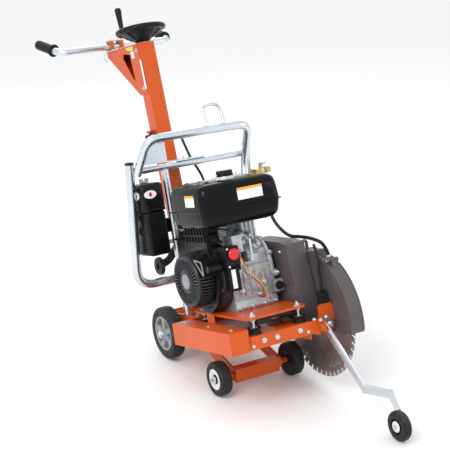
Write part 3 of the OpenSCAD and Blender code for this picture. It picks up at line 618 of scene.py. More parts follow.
def filler():
    """The filler neck, its knurled cap and the small fittings beside it."""
    x, y = FILLER
    neck = Shape()
    neck.turned((x, y, 0), UP, [(20, 556), (33, 558), (34, 563), (30, 566), (28, 571.8), (20, 571.8)], 48)
    neck.put("filler_neck", "fuel_tank_upper", "zinc", bevel=0.4)
    cap = Shape()
    steps, flutes = 60, 10
    ring = []
    for k in range(steps):
        a = 2 * pi * k / steps
        q = 29.5 - 3.2 * max(0.0, cos(a * flutes)) ** 0.7
        ring.append((q, a))
    levels = [(572.6, 0.99), (574, 1.0), (588, 0.99), (591, 0.94), (592.3, 0.86)]
    cap.rings([[(x + q * k * cos(a), y + q * k * sin(a), z) for q, a in ring] for z, k in levels])
    cap.ink = 1
    cap.turned((x, y, 0), UP, [(0, 591.5), (17, 591.5), (17, 592.2), (15.5, 592.3), (0, 592.3)], 40)
    cap.box((x - 16, x + 16), (y - 2.5, y + 2.5), (591.4, 592.35))
    cap.put("filler_cap", "fuel_cap", ["black_plastic", "zinc"], bevel=0, stands_in=True)
    pins = Shape()
    for px, h in ((-112, 12), (-100, 18), (-34, 14), (-22, 17), (-8, 11)):
        pins.rod((px, y + 4, 556), (px, y + 4, 560 + h), 3.4, 2.8, 16)
        pins.rod((px, y + 4, 560 + h), (px, y + 4, 563 + h), 5.2, 4.6, 20)
    pins.put("tank_top_fittings", "fuel_tank_upper", "zinc", bevel=0.3)


def air_filter():
    """Trim on the air cleaner: its lid's lip, vents, clips, blank plates and stud."""
    nut_x, nut_y = -184, -30
    s = Shape()
    x, y = (-230, -138), (-94, 34)
    s.rings([rounded_rect(x, y, z, inset, 16) for z, inset in ((469, 3), (471, -0.6), (476, -1.0),
                                                               (480, 0.5))])
    for k in range(6):
        z = 318 + 9 * k
        s.box((x[0] + 12, x[1] - 10), (y[0] + 0.5, y[0] + 6), (z, z + 4))
        s.box((x[0] + 2.4, x[0] + 6), (y[0] + 14, y[1] - 12), (z, z + 4))
    s.box((x[0] - 0.6, x[0] + 20), (-60, 4), (440, 462))
    s.box((x[0] + 6, x[1] - 6), (y[0] + 2.6, y[0] + 8), (384, 388))
    for px in (x[0] + 16, x[1] - 20):
        s.tube(rounded([(px, y[0] - 1, 452), (px, y[0] - 3.5, 462), (px, y[0] - 3.5, 484),
                        (px, y[0] - 0.5, 492)], 5), 2.6, 8)
    s.rod((x[0] + 6, -30, 400), (x[0] - 1, -30, 400), 17, 15)
    s.rod((nut_x, nut_y, 573), (nut_x, nut_y, 577.5), 15, 11)
    s.put("filter_trim", "air_cleaner", "black_plastic", bevel=0.7)
    plate = Shape()
    for ink, out, wide, high in ((0, 1.6, 25, 15), (1, 2.2, 6, 8)):
        plate.ink = ink
        angles = [2 * pi * k / 40 for k in range(40)]
        ring = [(x[0] - out, -46 + wide * cos(a), 534 + high * sin(a)) for a in angles]
        plate.rings([ring, [(x[0] + 1, q[1], q[2]) for q in ring]])
        ring = [(-196 + wide * cos(a), y[0] - out, 534 + high * sin(a)) for a in angles]
        plate.rings([ring, [(q[0], y[0] + 1, q[2]) for q in ring]])
    plate.put("filter_plate", "air_cleaner", ["plate_white", "red_plastic"], bevel=0.2,
              slot="black_plastic")
    stud = Shape()
    stud.rod((nut_x, nut_y, 578), (nut_x, nut_y, 583.8), 3.8, 3.2, 16)
    stud.rod((-140, -36, 342), (-84, -36, 342), 8)
    stud.put("filter_stud", "air_cleaner", "zinc", bevel=0.2)


def crankcase_details():
    """Cast ribs, bosses, the bolted side cover, plugs and the governor arm."""
    y, z = CRANK.y, CRANK.z
    bosses = (((-20, y - 118, z + 8), 17), ((34, y - 116, z - 44), 13), ((-58, y - 116, z - 60), 12),
              ((8, y - 118, z - 84), 10))
    cover_bolts = [radians(36 * k + 10) for k in range(10)]
    s = Shape()
    s.turned((0, y, z), LEFT, [(60, 66), (117, 66), (118, 69), (118, 78), (114, 82), (96, 84), (90, 90),
                               (60, 90)], 80)
    for a in cover_bolts:
        p = on_circle(66, y, z, 114, a)
        s.rod(p, p + Vector((18, 0, 0)), 10)
    for x in (-70, -46, -22, 2, 26, 50):
        s.prism([(y - 100, z - 96), (y - 116, z - 70), (y - 118, z - 8), (y - 106, z + 44),
                 (y - 60, z + 66), (y - 60, z - 96)],
                "X", (x - 2.4, x + 2.4))
    for zz in (z - 62, z - 18, z + 26):
        s.box((-88, 66), (y - 114, y - 100), (zz - 2.4, zz + 2.4))
    s.box((-96, 80), (y - 116, y - 104), (z - 128, z - 112))
    s.prism([(y - 112, 96), (y - 121, 100), (y - 121, 108), (y - 112, 130), (y - 90, 130), (y - 90, 96)],
            "X", (-92, 76))
    s.prism([(y - 74, z + 52), (y - 66, z + 90), (y - 34, z + 140), (y - 10, z + 172), (y + 46, z + 172),
             (y + 54, z + 100), (y + 20, z + 60)],
            "X", (30, 62))
    s.prism([(y - 70, z + 58), (y - 60, z + 96), (y - 30, z + 142), (y - 6, z + 174), (y + 30, z + 174),
             (y + 30, z + 60)],
            "X", (60, 70))
    for p, r in bosses:
        s.rod((p[0], p[1] + 16, p[2]), p, r, r * 0.92)
    s.dome((44, y - 70, z + 82), (0.2, -1, 0.25), 24, 20)
    s.dome((-62, y - 86, z + 96), (0, -1, 0.5), 20, 16)
    s.rod((44, y - 70, z + 82), (44, y - 96, z + 90), 9)
    s.rod((79, y - 104, z - 66), (79, y - 132.6, z - 66), 21, 19)
    s.rod((70, y - 96, z - 20), (88, y - 118, z - 22), 13)
    tower = y - 57
    for k in range(4):
        s.box((2 + 17 * k, 6 + 17 * k), (tower - 6, tower + 2), (z + 74, z + 178))
    for zz in (z + 96, z + 138, z + 176):
        s.box((-3, 65), (tower - 5, tower + 2), (zz, zz + 4))
    s.dome((20, tower - 4, z + 120), (-0.2, -1, 0.1), 19, 17)
    s.rod((20, tower - 16, z + 122), (20, tower - 30, z + 124), 7)
    s.dome((-22, y - 74, z + 128), (-0.1, -1, 0.2), 24, 26)
    s.box((-46, 2), (y - 78, y - 50), (z + 96, z + 132))
    s.put("crankcase_casting", "crankcase", "cast_alloy", bevel=1.6)
    b = Shape()
    for a in cover_bolts:
        b.bolt(on_circle(84, y, z, 114, a), LEFT, 5)
    for p, _ in bosses:
        b.bolt(p, AHEAD, 5)
    for k in range(4):
        b.bolt((64, y - 62 + 16 * k, z + 86 + 22 * k), (0.3, -1, 0.5), 4)
    for x in (-80, -30, 20, 66):
        b.bolt((x, y - 121, 104), AHEAD, 5.5)
    b.bolt((88, y - 118, z - 22), (0.6, -0.8, -0.1), 9)
    b.put("crankcase_bolts", "crankcase", "zinc", bevel=0.3)
    lever = Shape()
    lever.tube(rounded([(-6, y - 122, z + 60), (-6, y - 124, z + 110), (-22, y - 100, z + 150),
                        (-34, y + 150, z + 166)], 20), 1.6, 8)
    lever.box((-10, -2), (y - 125, y - 122), (z + 40, z + 118))
    lever.bolt((-6, y - 122, z + 46), AHEAD, 5)
    lever.turned((-6, y - 112, z + 46), AHEAD, [(3, 0), (8, 0), (8, 8), (3, 8)], 24)
    lever.put("governor_arm", "crankcase", "zinc", bevel=0.2)
    plug = Shape()
    plug.dome((20, y - 118, z - 92), AHEAD, 7, 5)
    plug.put("oil_sensor", "crankcase", "red_plastic", bevel=0)


def cylinder_details():
    """Fins, bolts and the plug lead on the leaning cylinder head."""
    s = Shape()
    for k in range(4):
        s.box((-54, 54), (238 + 7 * k, 240.6 + 7 * k), (-54, 54))
    s.box((-30, 30), (262, 268), (-36, 36))
    s.put("head_fins", "cylinder_block", "cast_alloy", bevel=0.5, place=CYLINDER)
    b = Shape()
    for px in (-24, 24):
        for pz in (-30, 30):
            b.bolt((px, 268, pz), REAR, 5)
    b.rod((0, 268, 0), (0, 290, 0), 8, 6)
    b.put("head_bolts", "cylinder_block", "zinc", bevel=0.3, place=CYLINDER)
    lead = Shape()
    lead.tube(smooth_line([(0, 288, 0), (2, 300, -14), (-20, 296, -50), (-66, 250, -70), (-94, 190, -60),
                           (-100, 120, -20)]), 3.4, 10)
    lead.rod((0, 284, 0), (0, 298, -3), 9, 7)
    lead.put("plug_lead", "cylinder_block", "rubber", bevel=0.3, place=CYLINDER)


def intake_details():
    """The float bowl, and the links and screws of the speed control."""
    s = Shape()
    s.turned((-46, -68, 405), AHEAD, [(4, 0), (14, 0), (15, 3), (13, 8), (4, 8)], 32)
    s.rod((-50, -36, 348), (-50, -36, 341), 12, 9)
    s.box((-66, -26), (-70, -60), (386, 396))
    s.put("float_bowl_trim", "carburettor", "cast_alloy", bevel=0.6)
    k = Shape()
    k.tube(smooth_line([(-92, -120, 352), (-100, -200, 372), (-112, -300, 378), (-118, -390, 372),
                        (-104, -420, 340)]), 3.2, 10)
    k.tube(smooth_line([(-70, -110, 360), (-80, -200, 386), (-86, -310, 390), (-60, -400, 380)]), 2.4, 10)
    k.box((-140, -92), (-240, -120), (352, 360))
    k.box((-136, -110), (-200, -150), (360, 384))
    k.rod((-112, -130, 366), (-112, -112, 366), 8)
    k.put("control_links", "carburettor", "black_plastic", bevel=0.5)
    z = Shape()
    z.bolt((-118, -196, 384), UP, 4.5)
    z.bolt((-100, -238, 360), UP, 4.5)
    z.tube(smooth_line([(-126, -160, 390), (-120, -100, 396), (-70, -76, 400)]), 1.5, 8)
    z.put("control_screws", "carburettor", "zinc", bevel=0.2)


def muffler_details():
    """The muffler's pressed shield and screws, and its outlet's dish."""
    s = Shape()
    for k in range(7):
        z = 418 + 11 * k
        s.box((12, 108), (-114.5, -109), (z, z + 4.5))
        s.box((14, 106), (19, 24.5), (z, z + 4.5))
    for k in range(6):
        y = -92 + 18 * k
        s.box((16, 102), (y, y + 6), (504, 508.5))
    s.tube(rounded([(-1, -110, 452), (-1, 20, 452), (119, 20, 452), (119, -110, 452), (-1, -110, 452)], 12),
           2.6, 8)
    s.put("muffler_shield", "muffler", "heat_black", bevel=0.8)
    b = Shape()
    for x in (20, 98):
        for z in (410, 500):
            b.bolt((x, -113, z), AHEAD, 4)
    b.put("muffler_bolts", "muffler", "zinc", bevel=0.2)
    d = Shape()
    d.turned((0, 58, 247), RIGHT, [(12.5, 127), (34, 127), (36, 131), (34, 139), (26, 143), (13, 143)], 56)
    d.put("deflector_dish", "exhaust_deflector", "heat_black", bevel=0.8)


def switch_details():
    """The switch box: its shell, blank plate, screws and red knob."""
    s = Shape()
    s.prism([(-480, 333), (-488, 326), (-489, 266), (-478, 258), (-440, 258), (-440, 333)], "X",
            (-136, -82))
    s.box((-130, -88), (-481, -470), (176, 258))
    s.box((-90, -74), (-470, -448), (244, 268))
    s.put("switch_shell", "switch_box", "black_plastic", bevel=1.6)
    p = Shape()
    p.box((-121, -104), (-482.4, -480.6), (186, 252))
    p.put("switch_plate", "switch_box", "plate_white", bevel=0.3, slot="black_plastic")
    k = Shape()
    k.turned((-108, -489, 306), AHEAD, [(0, 0), (14, 0), (19, 2), (21, 6), (20.5, 11), (17, 14.5),
                                        (10, 15.6), (0, 15.6)], 48)
    k.box((-111, -105), (-505, -499), (292, 320))
    k.put("ignition_mushroom", "engine_switch", "red_plastic", bevel=0.8, stands_in=True)
    b = Shape()
    for z in (264, 326):
        b.bolt((-128, -488.5, z), AHEAD, 3)
    b.put("switch_screws", "switch_box", "zinc", bevel=0.1)


def wires():
    """Three leads that follow the loom's route, and their connector."""
    route = [(-84, -470, 300), (-74, -474, 290), (-62, -476, 262), (-48, -474, 232), (-30, -470, 205),
             (-8, -466, 180), (12, -464, 150), (24, -462, 128), (28, -455, 118)]
    loom = Shape()
    for ink, (a, b) in enumerate(((0, 0), (3.2, 2.2), (-2.6, 3.6))):
        loom.ink = ink
        path = [(x + a * sin(i), y - 0.6 * b, z + b * cos(i * 1.3)) for i, (x, y, z) in enumerate(route)]
        loom.tube(smooth_line(path), 1.7, 8)
    loom.ink = 2
    loom.tube(smooth_line([(-30, -470, 205), (-8, -474, 226), (10, -470, 214), (8, -466, 192),
                           (-4, -464, 184)]), 1.4, 8)
    loom.ink = 0
    loom.prism([(-480, 268), (-480, 300), (-470, 304), (-464, 300), (-464, 268)], "X", (-62, -48))
    loom.tube(smooth_line([(-60, -474, 262), (-70, -476, 244), (-60, -480, 222)]), 1.4, 8)
    loom.put("wire_loom", "wiring", ["cable", "red_wire", "yellow_wire"], bevel=0, stands_in=True)


# ---------------------------------------------------------------- wheels
def rear_wheel(side, tyre_node, rim_node):
    """A solid tyre on a five-spoke rim, and the nut that caps the axle's end."""
    low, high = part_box(tyre_node)
    x = (low.x + high.x) / 2 / MM
    centre = Vector((x, 0, 0))
    r, w = 100, 25
    t = Shape()
    half = [(66, -w + 3), (69, -w), (78, -w + 0.6), (80, -w), (92, -w + 1.5), (97.5, -w + 5),
            (99.6, -w + 11)]
    t.turned(centre, LEFT, half + [(r, 0)] + mirrored(half)[len(half):], 96)
    t.put("tyre_" + tyre_node, tyre_node, "tyre", bevel=0, stands_in=True)
    m = Shape()
    m.turned(centre, LEFT, [(58, -22), (62, -24), (66, -23), (66, 23), (62, 24), (58, 22), (60, 8),
                            (60, -8)], 80)
    m.turned(centre, LEFT, [(10.3, -24), (19, -24), (22, -20), (24, 0), (22, 20), (19, 24), (10.3, 24)], 56)
    m.turned(centre, LEFT, mirrored([(20, -3.5), (61, -3.5)]), 80)
    for k in range(5):
        a = radians(72 * k + 18)
        u, v = Vector((0, cos(a), sin(a))), Vector((0, -sin(a), cos(a)))
        rings = []
        for q, wide, deep in ((20, 11, 20), (38, 9, 15), (60, 15, 19)):
            section = ((-wide, -deep), (-wide * 0.5, -deep - 2), (wide * 0.5, -deep - 2), (wide, -deep),
                       (wide, deep), (wide * 0.5, deep + 2), (-wide * 0.5, deep + 2), (-wide, deep))
            rings.append([centre + u * q + v * b + Vector((c, 0, 0)) for b, c in section])
        m.rings(rings)
    m.put("rim_" + rim_node, rim_node, "rim_grey", bevel=1.0, stands_in=True)
    cap = Shape()
    end = Vector((x + side * 33, 0, 0))
    cap.rod(end, end + Vector((side * 1.6, 0, 0)), 16)
    cap.rod(end + Vector((side * 1.4, 0, 0)), end + Vector((side * 6, 0, 0)), 14.5, sides=6)
    cap.rod(end + Vector((side * 6, 0, 0)), end + Vector((side * 8.6, 0, 0)), 9.4, 8)
    cap.put("axle_nut_" + rim_node, "axle_shafts", "zinc", bevel=0.3)


def front_wheel(side, node, pale):
    """A small moulded wheel, its hub painted pale, and the nut on its stub axle."""
    low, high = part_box(node)
    x = (low.x + high.x) / 2 / MM - GROUND.translation.x / MM
    z = (low.z + high.z) / 2 / MM
    centre = (x, 0, z)
    out = (side, 0, 0)
    r, w = 62.5, 22.5
    t = Shape()
    t.turned(centre, LEFT, mirrored([(38, -w + 2), (42, -w), (54, -w + 0.3), (58.5, -w + 2),
                                     (61.5, -w + 5.5),
                                     (r, -w + 11)]), 88)
    t.ink = 1
    t.turned(centre, LEFT, mirrored([(17, -w + 6), (24, -w + 2.5), (36, -w + 1.4), (38.6, -w + 2.4)]), 72)
    t.ink = 2
    t.turned(centre, LEFT, mirrored([(10.2, -w + 1), (15, -w + 1), (17.4, -w + 5)]), 48)
    t.put("roller_" + node, node, ["tyre", pale, "black_plastic"], bevel=0, stands_in=True, place=GROUND)
    n = Shape()
    p = Vector((x + side * 22.2, 0, z))
    n.turned(p, out, [(10.1, 0), (14, 0), (14, 2), (11.6, 3), (11.6, 9), (0, 9), (0, 8.2), (10.1, 8.2)], 36)
    n.bolt(p + Vector((side * 8.8, 0, 0)), out, 6.4, washer=False)
    n.put("stub_nut_" + node, "front_carrier", "zinc", bevel=0.3, place=GROUND)


def pointer_parts():
    """The pointer's small wheel, its washer and nut, and the fork that holds it."""
    low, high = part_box("pointer_wheel")
    g = GROUND.translation / MM
    x, y = (low.x + high.x) / 2 / MM - g.x, (low.y + high.y) / 2 / MM - g.y
    z = (low.z + high.z) / 2 / MM
    centre = (x, y, z)
    t = Shape()
    half = [(30, -15), (34, -15.4), (44, -15), (49, -12.5), (52, -7)]
    t.turned(centre, LEFT, half + [(52.5, 0)] + mirrored(half)[len(half):], 80)
    t.ink = 1
    t.turned(centre, LEFT, mirrored([(5.2, -14), (12, -14), (14, -10), (24, -9), (27, -14), (31, -14.6)]),
             64)
    t.put("pointer_tyre", "pointer_wheel", ["tyre", "black_plastic"], bevel=0, stands_in=True, place=GROUND)
    n = Shape()
    n.turned((x - 14.5, y, z), RIGHT, [(0, 0), (19, 0), (19.5, 1.5), (17, 3.5), (0, 3.5)], 48)
    n.ink = 1
    n.bolt((x - 17.5, y, z), RIGHT, 7, washer=False)
    n.put("pointer_washer", "pointer_arm", ["hub_white", "zinc"], bevel=0.4, slot="zinc", place=GROUND)
    b = Shape()
    b.prism([(y - 22, z - 26), (y + 14, z - 22), (y + 20, z + 16), (y + 4, z + 30), (y - 20, z + 22)], "X",
            (x + 17, x + 19.4))
    b.box((x + 17, x + 27), (y - 8, y + 10), (z + 22, z + 30))
    b.prism([(y - 16, z - 20), (y - 6, z - 22), (y - 4, z + 24), (y - 14, z + 20)], "X", (x + 24.5, x + 28))
    b.rod((x + 26, y, z), (x + 28.6, y, z), 13)
    b.put("pointer_fork", "pointer_arm", "teal_plastic", bevel=0.7, slot="zinc", place=GROUND)


# ---------------------------------------------------------------- blade and guard
def blade_parts():
    """The diamond blade: slotted core, ribbed rim segments, rivet marks, and its nut."""
    low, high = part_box("blade")
    r = (high.z - low.z) / 2 / MM
    x = (low.x + high.x) / 2 / MM - GROUND.translation.x / MM
    y, z = ARBOR.y, ARBOR.z
    teeth, bore, skin = 48, 12.7, 1.72
    root = r - 9
    step = 2 * pi / teeth
    core = Shape()
    outline = []
    for k in range(teeth):
        for f, q in ((0.0, root - 11), (0.10, root - 11), (0.20, root - 4), (0.21, root), (0.5, root),
                     (0.9, root), (0.91, root - 4), (0.97, root - 9)):
            outline.append((2 * pi * k / teeth + step * f, q))
    edge = [on_circle(0, y, z, q, a) for a, q in outline]
    hole = [on_circle(0, y, z, bore, a) for a, q in outline]
    core.rings([[(x + h, p.y, p.z) for p in loop] for h, loop in
                ((-1.6, edge), (1.6, edge), (1.6, hole), (-1.6, hole))], closed=True)
    core.ink = 1
    cuts = 12
    for k in range(teeth):
        a0, a1 = 2 * pi * (k + 0.21) / teeth, 2 * pi * (k + 0.90) / teeth
        rings = []
        for i in range(cuts + 1):
            a = a0 + (a1 - a0) * i / cuts
            half = 2.05 if i % 2 else 1.55
            section = ((-half, root - 1, 0), (half, root - 1, 0), (half, r - 0.7, 0.012),
                       (half * 0.6, r - 0.1, 0.014), (-half * 0.6, r - 0.1, 0.014), (-half, r - 0.7, 0.012))
            rings.append([on_circle(x + h, y, z, q, a + lean) for h, q, lean in section])
        core.rings(rings)
    core.ink = 2
    for k in range(6):
        for j in range(4):
            p = on_circle(x, y, z, r - 34 - (5 if j % 2 else 0), radians(60 * k + 6 * j))
            core.rod(p - Vector((1.75, 0, 0)), p + Vector((1.75, 0, 0)), 2.6, sides=20)
    core.ink = 0
    for inner, outer in ((r - 62, r - 60.5), (r - 22, r - 21)):
        core.turned((x, y, z), LEFT, mirrored([(inner, -skin), (outer, -skin)]), 96)
    core.put("diamond_blade", "blade", ["blade_steel", "rim_grit", "hub_white"], bevel=0, stands_in=True)
    f = Shape()
    f.bolt((x + 21.5, y, z), LEFT, 15)
    for a in (40, 220):
        p = on_circle(x + 11.5, y, z, 40, radians(a))
        f.rod(p, p + Vector((3, 0, 0)), 4.5)
    f.put("arbor_nut", "blade_flanges", "steel", bevel=0.4)


GUARD_X = (182, 236)
GUARD_R = 242


def guard_rolls(shape, start, end, steps):
    """A rolled edge on both sides of the guard, from one angle to another in degrees."""
    for x in (GUARD_X[0] + 1.4, GUARD_X[1] - 1.4):
        shape.tube([on_circle(x, ARBOR.y, ARBOR.z, GUARD_R + 0.2,
                              radians(start + (end - start) * k / steps))
                    for k in range(steps + 1)], 2.6, 8)


def guard_details():
    """Rolled edges, braces, bolts and the water feed of the blade guard, and its flap's rim."""
    x0, x1 = GUARD_X
    top = ARBOR.z + GUARD_R
    s = Shape()
    guard_rolls(s, -8, 125, 60)
    s.box((x0 + 4, x1 - 4), (-540, -500), (top - 12, top + 1))
    s.tube(rounded([(x0 + 16, -446, top - 4), (x0 + 16, -446, top + 30), (x1 - 16, -446, top + 30),
                    (x1 - 16, -446, top - 4)], 10), 6, 12)
    s.prism([(-606, 100), (-600, 70), (-590, 60), (-480, 60), (-480, 66), (-588, 66), (-594, 74),
             (-600, 102)], "X", (x0 - 2.6, x0 + 0.5))
    s.box((x0 - 3, x0 + 0.5), (-600, -480), (-22, -14))
    s.put("guard_flanges", "blade_guard", "guard_paint", bevel=0.7)
    b = Shape()
    for y, z in ((-585, 84), (-560, 150), (-500, 200), (-430, 215), (-340, 170), (-280, 90)):
        b.bolt((x0 - 0.2, y, z), RIGHT, 5)
        b.bolt((x1 + 0.2, y, z), LEFT, 5)
    for x in (184.5, 233.5):
        b.rod((x - 3, -610, 226), (x + 3, -610, 226), 5.6)
    b.rod((209, -591, 226), (209, -591, 233), 9.5)
    b.put("guard_bolts", "blade_guard", "zinc", bevel=0.3)
    block = Shape()
    block.prism([(-612, 84), (-606, 116), (-596, 128), (-586, 128), (-586, 84)], "X", (140, 172))
    block.rod((150, -612, 112), (150, -616, 112), 4)
    block.tube(smooth_line([(156, -600, 126), (158, -598, 160), (160, -594, 200), (168, -588, 240),
                            (176, -560, 286)]), 5.2, 12)
    block.put("water_feed_block", "blade_guard", "rubber", bevel=0.8)
    f = Shape()
    guard_rolls(f, 127.5, 188.5, 30)
    f.box((x0 + 1, x1 - 1), (-703, -698), (-25, -19))
    f.put("flap_edges", "guard_flap", "guard_paint", bevel=0.5)


def belt_guard_details():
    """The belt guard's bolts and front flange."""
    b = Shape()
    for y, z in ((-450, 270), (-300, 300), (-520, 20), (-300, 120)):
        b.bolt((178, y, z), LEFT, 5)
        b.bolt((100, y, z), RIGHT, 5)
    b.put("belt_guard_bolts", "belt_guard", "zinc", bevel=0.3)
    s = Shape()
    s.prism([(-456, 274), (-464, 276), (-466, 262), (-536, 14), (-528, 12)], "X", (99, 112))
    s.rod((140, -462, 240), (140, -470, 242), 9)
    s.put("belt_guard_flange", "belt_guard", "guard_paint", bevel=0.7)


# ---------------------------------------------------------------- frame tubes, column, bar
def lifting_tubes():
    """The two hoops, crossbar, post and lifting eye, with their caps and bolts."""
    top = 63
    low = [(-250, -72, 657), (-250, 34, 190), (250, 34, 190), (250, -72, 657)]
    hoop = [(-226, -76, 614), (-212, -178, 735), (212, -178, 735), (226, -85, 600), (120, -150, top + 6)]
    post = Vector((-111, -72, top))
    bail = [(38, -178, 735), (38, -160, 826), (112, -160, 826), (112, -178, 735)]
    s = Shape()
    s.tube(rounded(low, 75, 12), 17, 28)
    s.tube(rounded(hoop, 48, 10), 16, 28)
    s.tube(rounded(bail, 34, 8), 6.5, 18)
    s.tube([(-236, -72, 624), (-80, -72, 624), (80, -72, 624), (236, -72, 624)], 12.4, 28)
    for x, y in ((38, -178), (112, -178)):
        s.turned((x, y, 746), UP, [(3, -6), (11, -6), (9, 2), (7.4, 5), (3, 5)], 24)
    for side in (-1, 1):
        s.turned((side * 229, -72, 624), (side, 0, 0), [(5, -2), (13.5, -2), (16, 5), (16, 8), (5, 8)], 28)
    s.box((-60, 60), (-84, 91), (636, 641))
    s.rod(post, post + Vector((0, 0, 6)), 15)
    s.rod(post, post + Vector((0, 0, 551)), 13)
    s.box((102, 138), (-168, -132), (top, top + 6))
    s.put("lifting_tubes", "lifting_frame", "zinc", bevel=0, stands_in=True, smooth=50)
    c = Shape()
    direction = unit(Vector((0, -106, 467)))
    for side in (-1, 1):
        p = Vector((side * 250, -72, 657))
        c.rod(p - direction * 3, p + direction * 1.8, 17.6)
        c.rod(p + direction * 1.8, p + direction * 3.6, 16.4, 14)
    c.put("tube_caps", "lifting_frame", "black_plastic", bevel=0.6)
    b = Shape()
    for x, y in ((111, -160), (129, -140)):
        b.bolt((x, y, top + 6), UP, 4.6)
    for x in (-40, 40):
        b.bolt((x, 60, 641), UP, 5)
    b.put("foot_bolts", "lifting_frame", "zinc", bevel=0.2)
    plate = Shape()
    plate.prism([(-196, 642), (-196, 716), (-104, 716), (-104, 642)], "Y", (-92, -89))
    plate.put("blank_plate", "lifting_frame", "zinc", bevel=0.6)


def column_details():
    """The column's blank plates, washer, conduit and stop button."""
    face = 31
    s = Shape()
    ring = rounded_rect((-6.5, 6.5), (-58, 58), 0, 0, 6)
    s.rings([[(-face - d, -17 + p[0], 985 + p[1]) for p in ring] for d in (2.8, 4.2)])
    s.put("column_plate", "column", "plate_white", bevel=0.2, slot="orange_paint", place=COLUMN)
    labels = Shape()
    labels.prism([(196, 1082), (192, 1099), (262, 1099), (246, 1086)], "X", (-35.2, -33.8))
    labels.ink = 1
    labels.prism([(190, 1052), (190, 1078), (222, 1082), (214, 1052)], "X", (-35.2, -33.8))
    labels.put("bracket_plate", "handlebar_bracket", ["plate_yellow", "hub_white"], bevel=0.2,
               slot="orange_paint")
    t = Shape()
    t.turned((0, 0, 1108), UP, [(9.2, -1), (30, -1), (30, 1.2), (27, 1.8), (9.2, 1.8)], 48)
    t.put("column_washer", "column", "zinc", bevel=0.2, place=COLUMN)
    b = Shape()
    for z in (930, 1080):
        b.bolt((-34, 150 + (z - 930) * 0.09, z), RIGHT, 6)
        b.bolt((34, 150 + (z - 930) * 0.09, z), LEFT, 6)
    b.put("bracket_bolts", "handlebar_bracket", "zinc", bevel=0.2)
    strut = Shape()
    strut.tube(rounded([(44, 56, 720), (50, 20, 640), (60, -40, 560), (60, -60, 470)], 30), 5, 14)
    strut.put("cable_conduit", "column", "rubber", bevel=0)
    w = Shape()
    w.box((-61, -32), (-26, -24), (704, 748))
    w.put("stop_box_lid", "stop_box", "black_plastic", bevel=0.6, place=COLUMN)
    k = Shape()
    k.turned((-47, 0, 745), UP, [(0, 0), (6.8, 0), (6.8, 12), (13, 13), (15, 16), (14.5, 20), (9, 22),
                                 (0, 22)], 40)
    k.put("stop_mushroom", "stop_button", "red_plastic", bevel=0, stands_in=True, place=COLUMN)


def saddle_details():
    """Screws and plates of the saddles that clamp the handlebar."""
    s = Shape()
    for side in (-1, 1):
        x = side * 22
        for dy in (-14, 14):
            s.bolt((x, 428 + dy, 1150), UP, 4.6)
        s.rod((x, 428 - 16, 1100), (x, 428 - 16, 1092), 5)
        s.tube(rounded([(side * 38, 452, 1066), (side * 52, 444, 1084), (side * 56, 420, 1098)], 8), 3.2,
               10)
    s.put("saddle_screws", "handlebar_bracket", "zinc", bevel=0.2)
    p = Shape()
    p.prism([(-36, 330), (36, 330), (40, 396), (40, 450), (-40, 450), (-40, 396)], "Z", (1104, 1108.6))
    p.prism([(-35, 407), (35, 407), (35, 449), (-35, 449)], "Z", (1145.8, 1150))
    p.put("saddle_plate", "handlebar_bracket", "zinc", bevel=0.6)


def hand_controls():
    """The lift handwheel with its finger grips and spokes, nut and crank grip."""
    top = 1108
    r = 100
    s = Shape()
    lobes = 72
    rings = []
    for k in range(lobes):
        a = 2 * pi * k / lobes
        d = Vector((cos(a), sin(a), 0))
        ring = []
        for i in range(14):
            t = 2 * pi * i / 14
            grip = 1.6 * max(0, cos(a * 12)) if sin(t) < 0 else 0
            q = 11.9 - grip
            ring.append(Vector((0, 0, top + 52)) + d * (r - 12 + q * cos(t)) + Vector((0, 0,
                                                                                       q * 0.98 * sin(t))))
        rings.append(ring)
    s.rings(rings, closed=True)
    s.turned((0, 0, top + 2), UP, [(9.2, 0), (24, 0), (30, 6), (38, 12), (r - 18, 44), (r - 12, 50),
                                   (r - 16, 56),
                                          (34, 24), (24, 28), (20, 60), (9.2, 60)], 72)
    for k in range(6):
        a = radians(60 * k + 20)
        d, w = Vector((cos(a), sin(a), 0)), Vector((-sin(a), cos(a), 0))
        rings = []
        for q, z0, z1 in ((20, 4, 44), (50, 16, 40), (r - 16, 42, 56)):
            rings.append([Vector((0, 0, top + 2)) + d * q + w * b + Vector((0, 0, c)) for b,
                          c in ((-4, z0), (4, z0), (4, z1), (-4, z1))])
        s.rings(rings)
    s.rod((-50, 62, top + 52), (-50, 62, top + 142), 3.8)
    s.put("lift_handwheel", "handwheel", "black_plastic", bevel=0.4, stands_in=True, place=COLUMN,
          smooth=35)
    n = Shape()
    n.bolt((0, 0, top + 62), UP, 9)
    n.put("handwheel_nut", "handwheel", "zinc", bevel=0.3, place=COLUMN)
    k = Shape()
    k.turned((-50, 62, top + 64.6), UP, [(4.2, 0), (8.6, 0), (9, 2), (8.2, 5), (8.4, 10), (9.6, 30),
                                         (11.2, 60), (12.7, 76),
                                               (12.9, 84), (11.5, 90), (8, 93.6), (0, 94.6), (0, 80),
                                         (4.2, 80)], 40)
    k.put("crank_grip", "crank_knob", "black_plastic", bevel=0, stands_in=True, place=COLUMN)


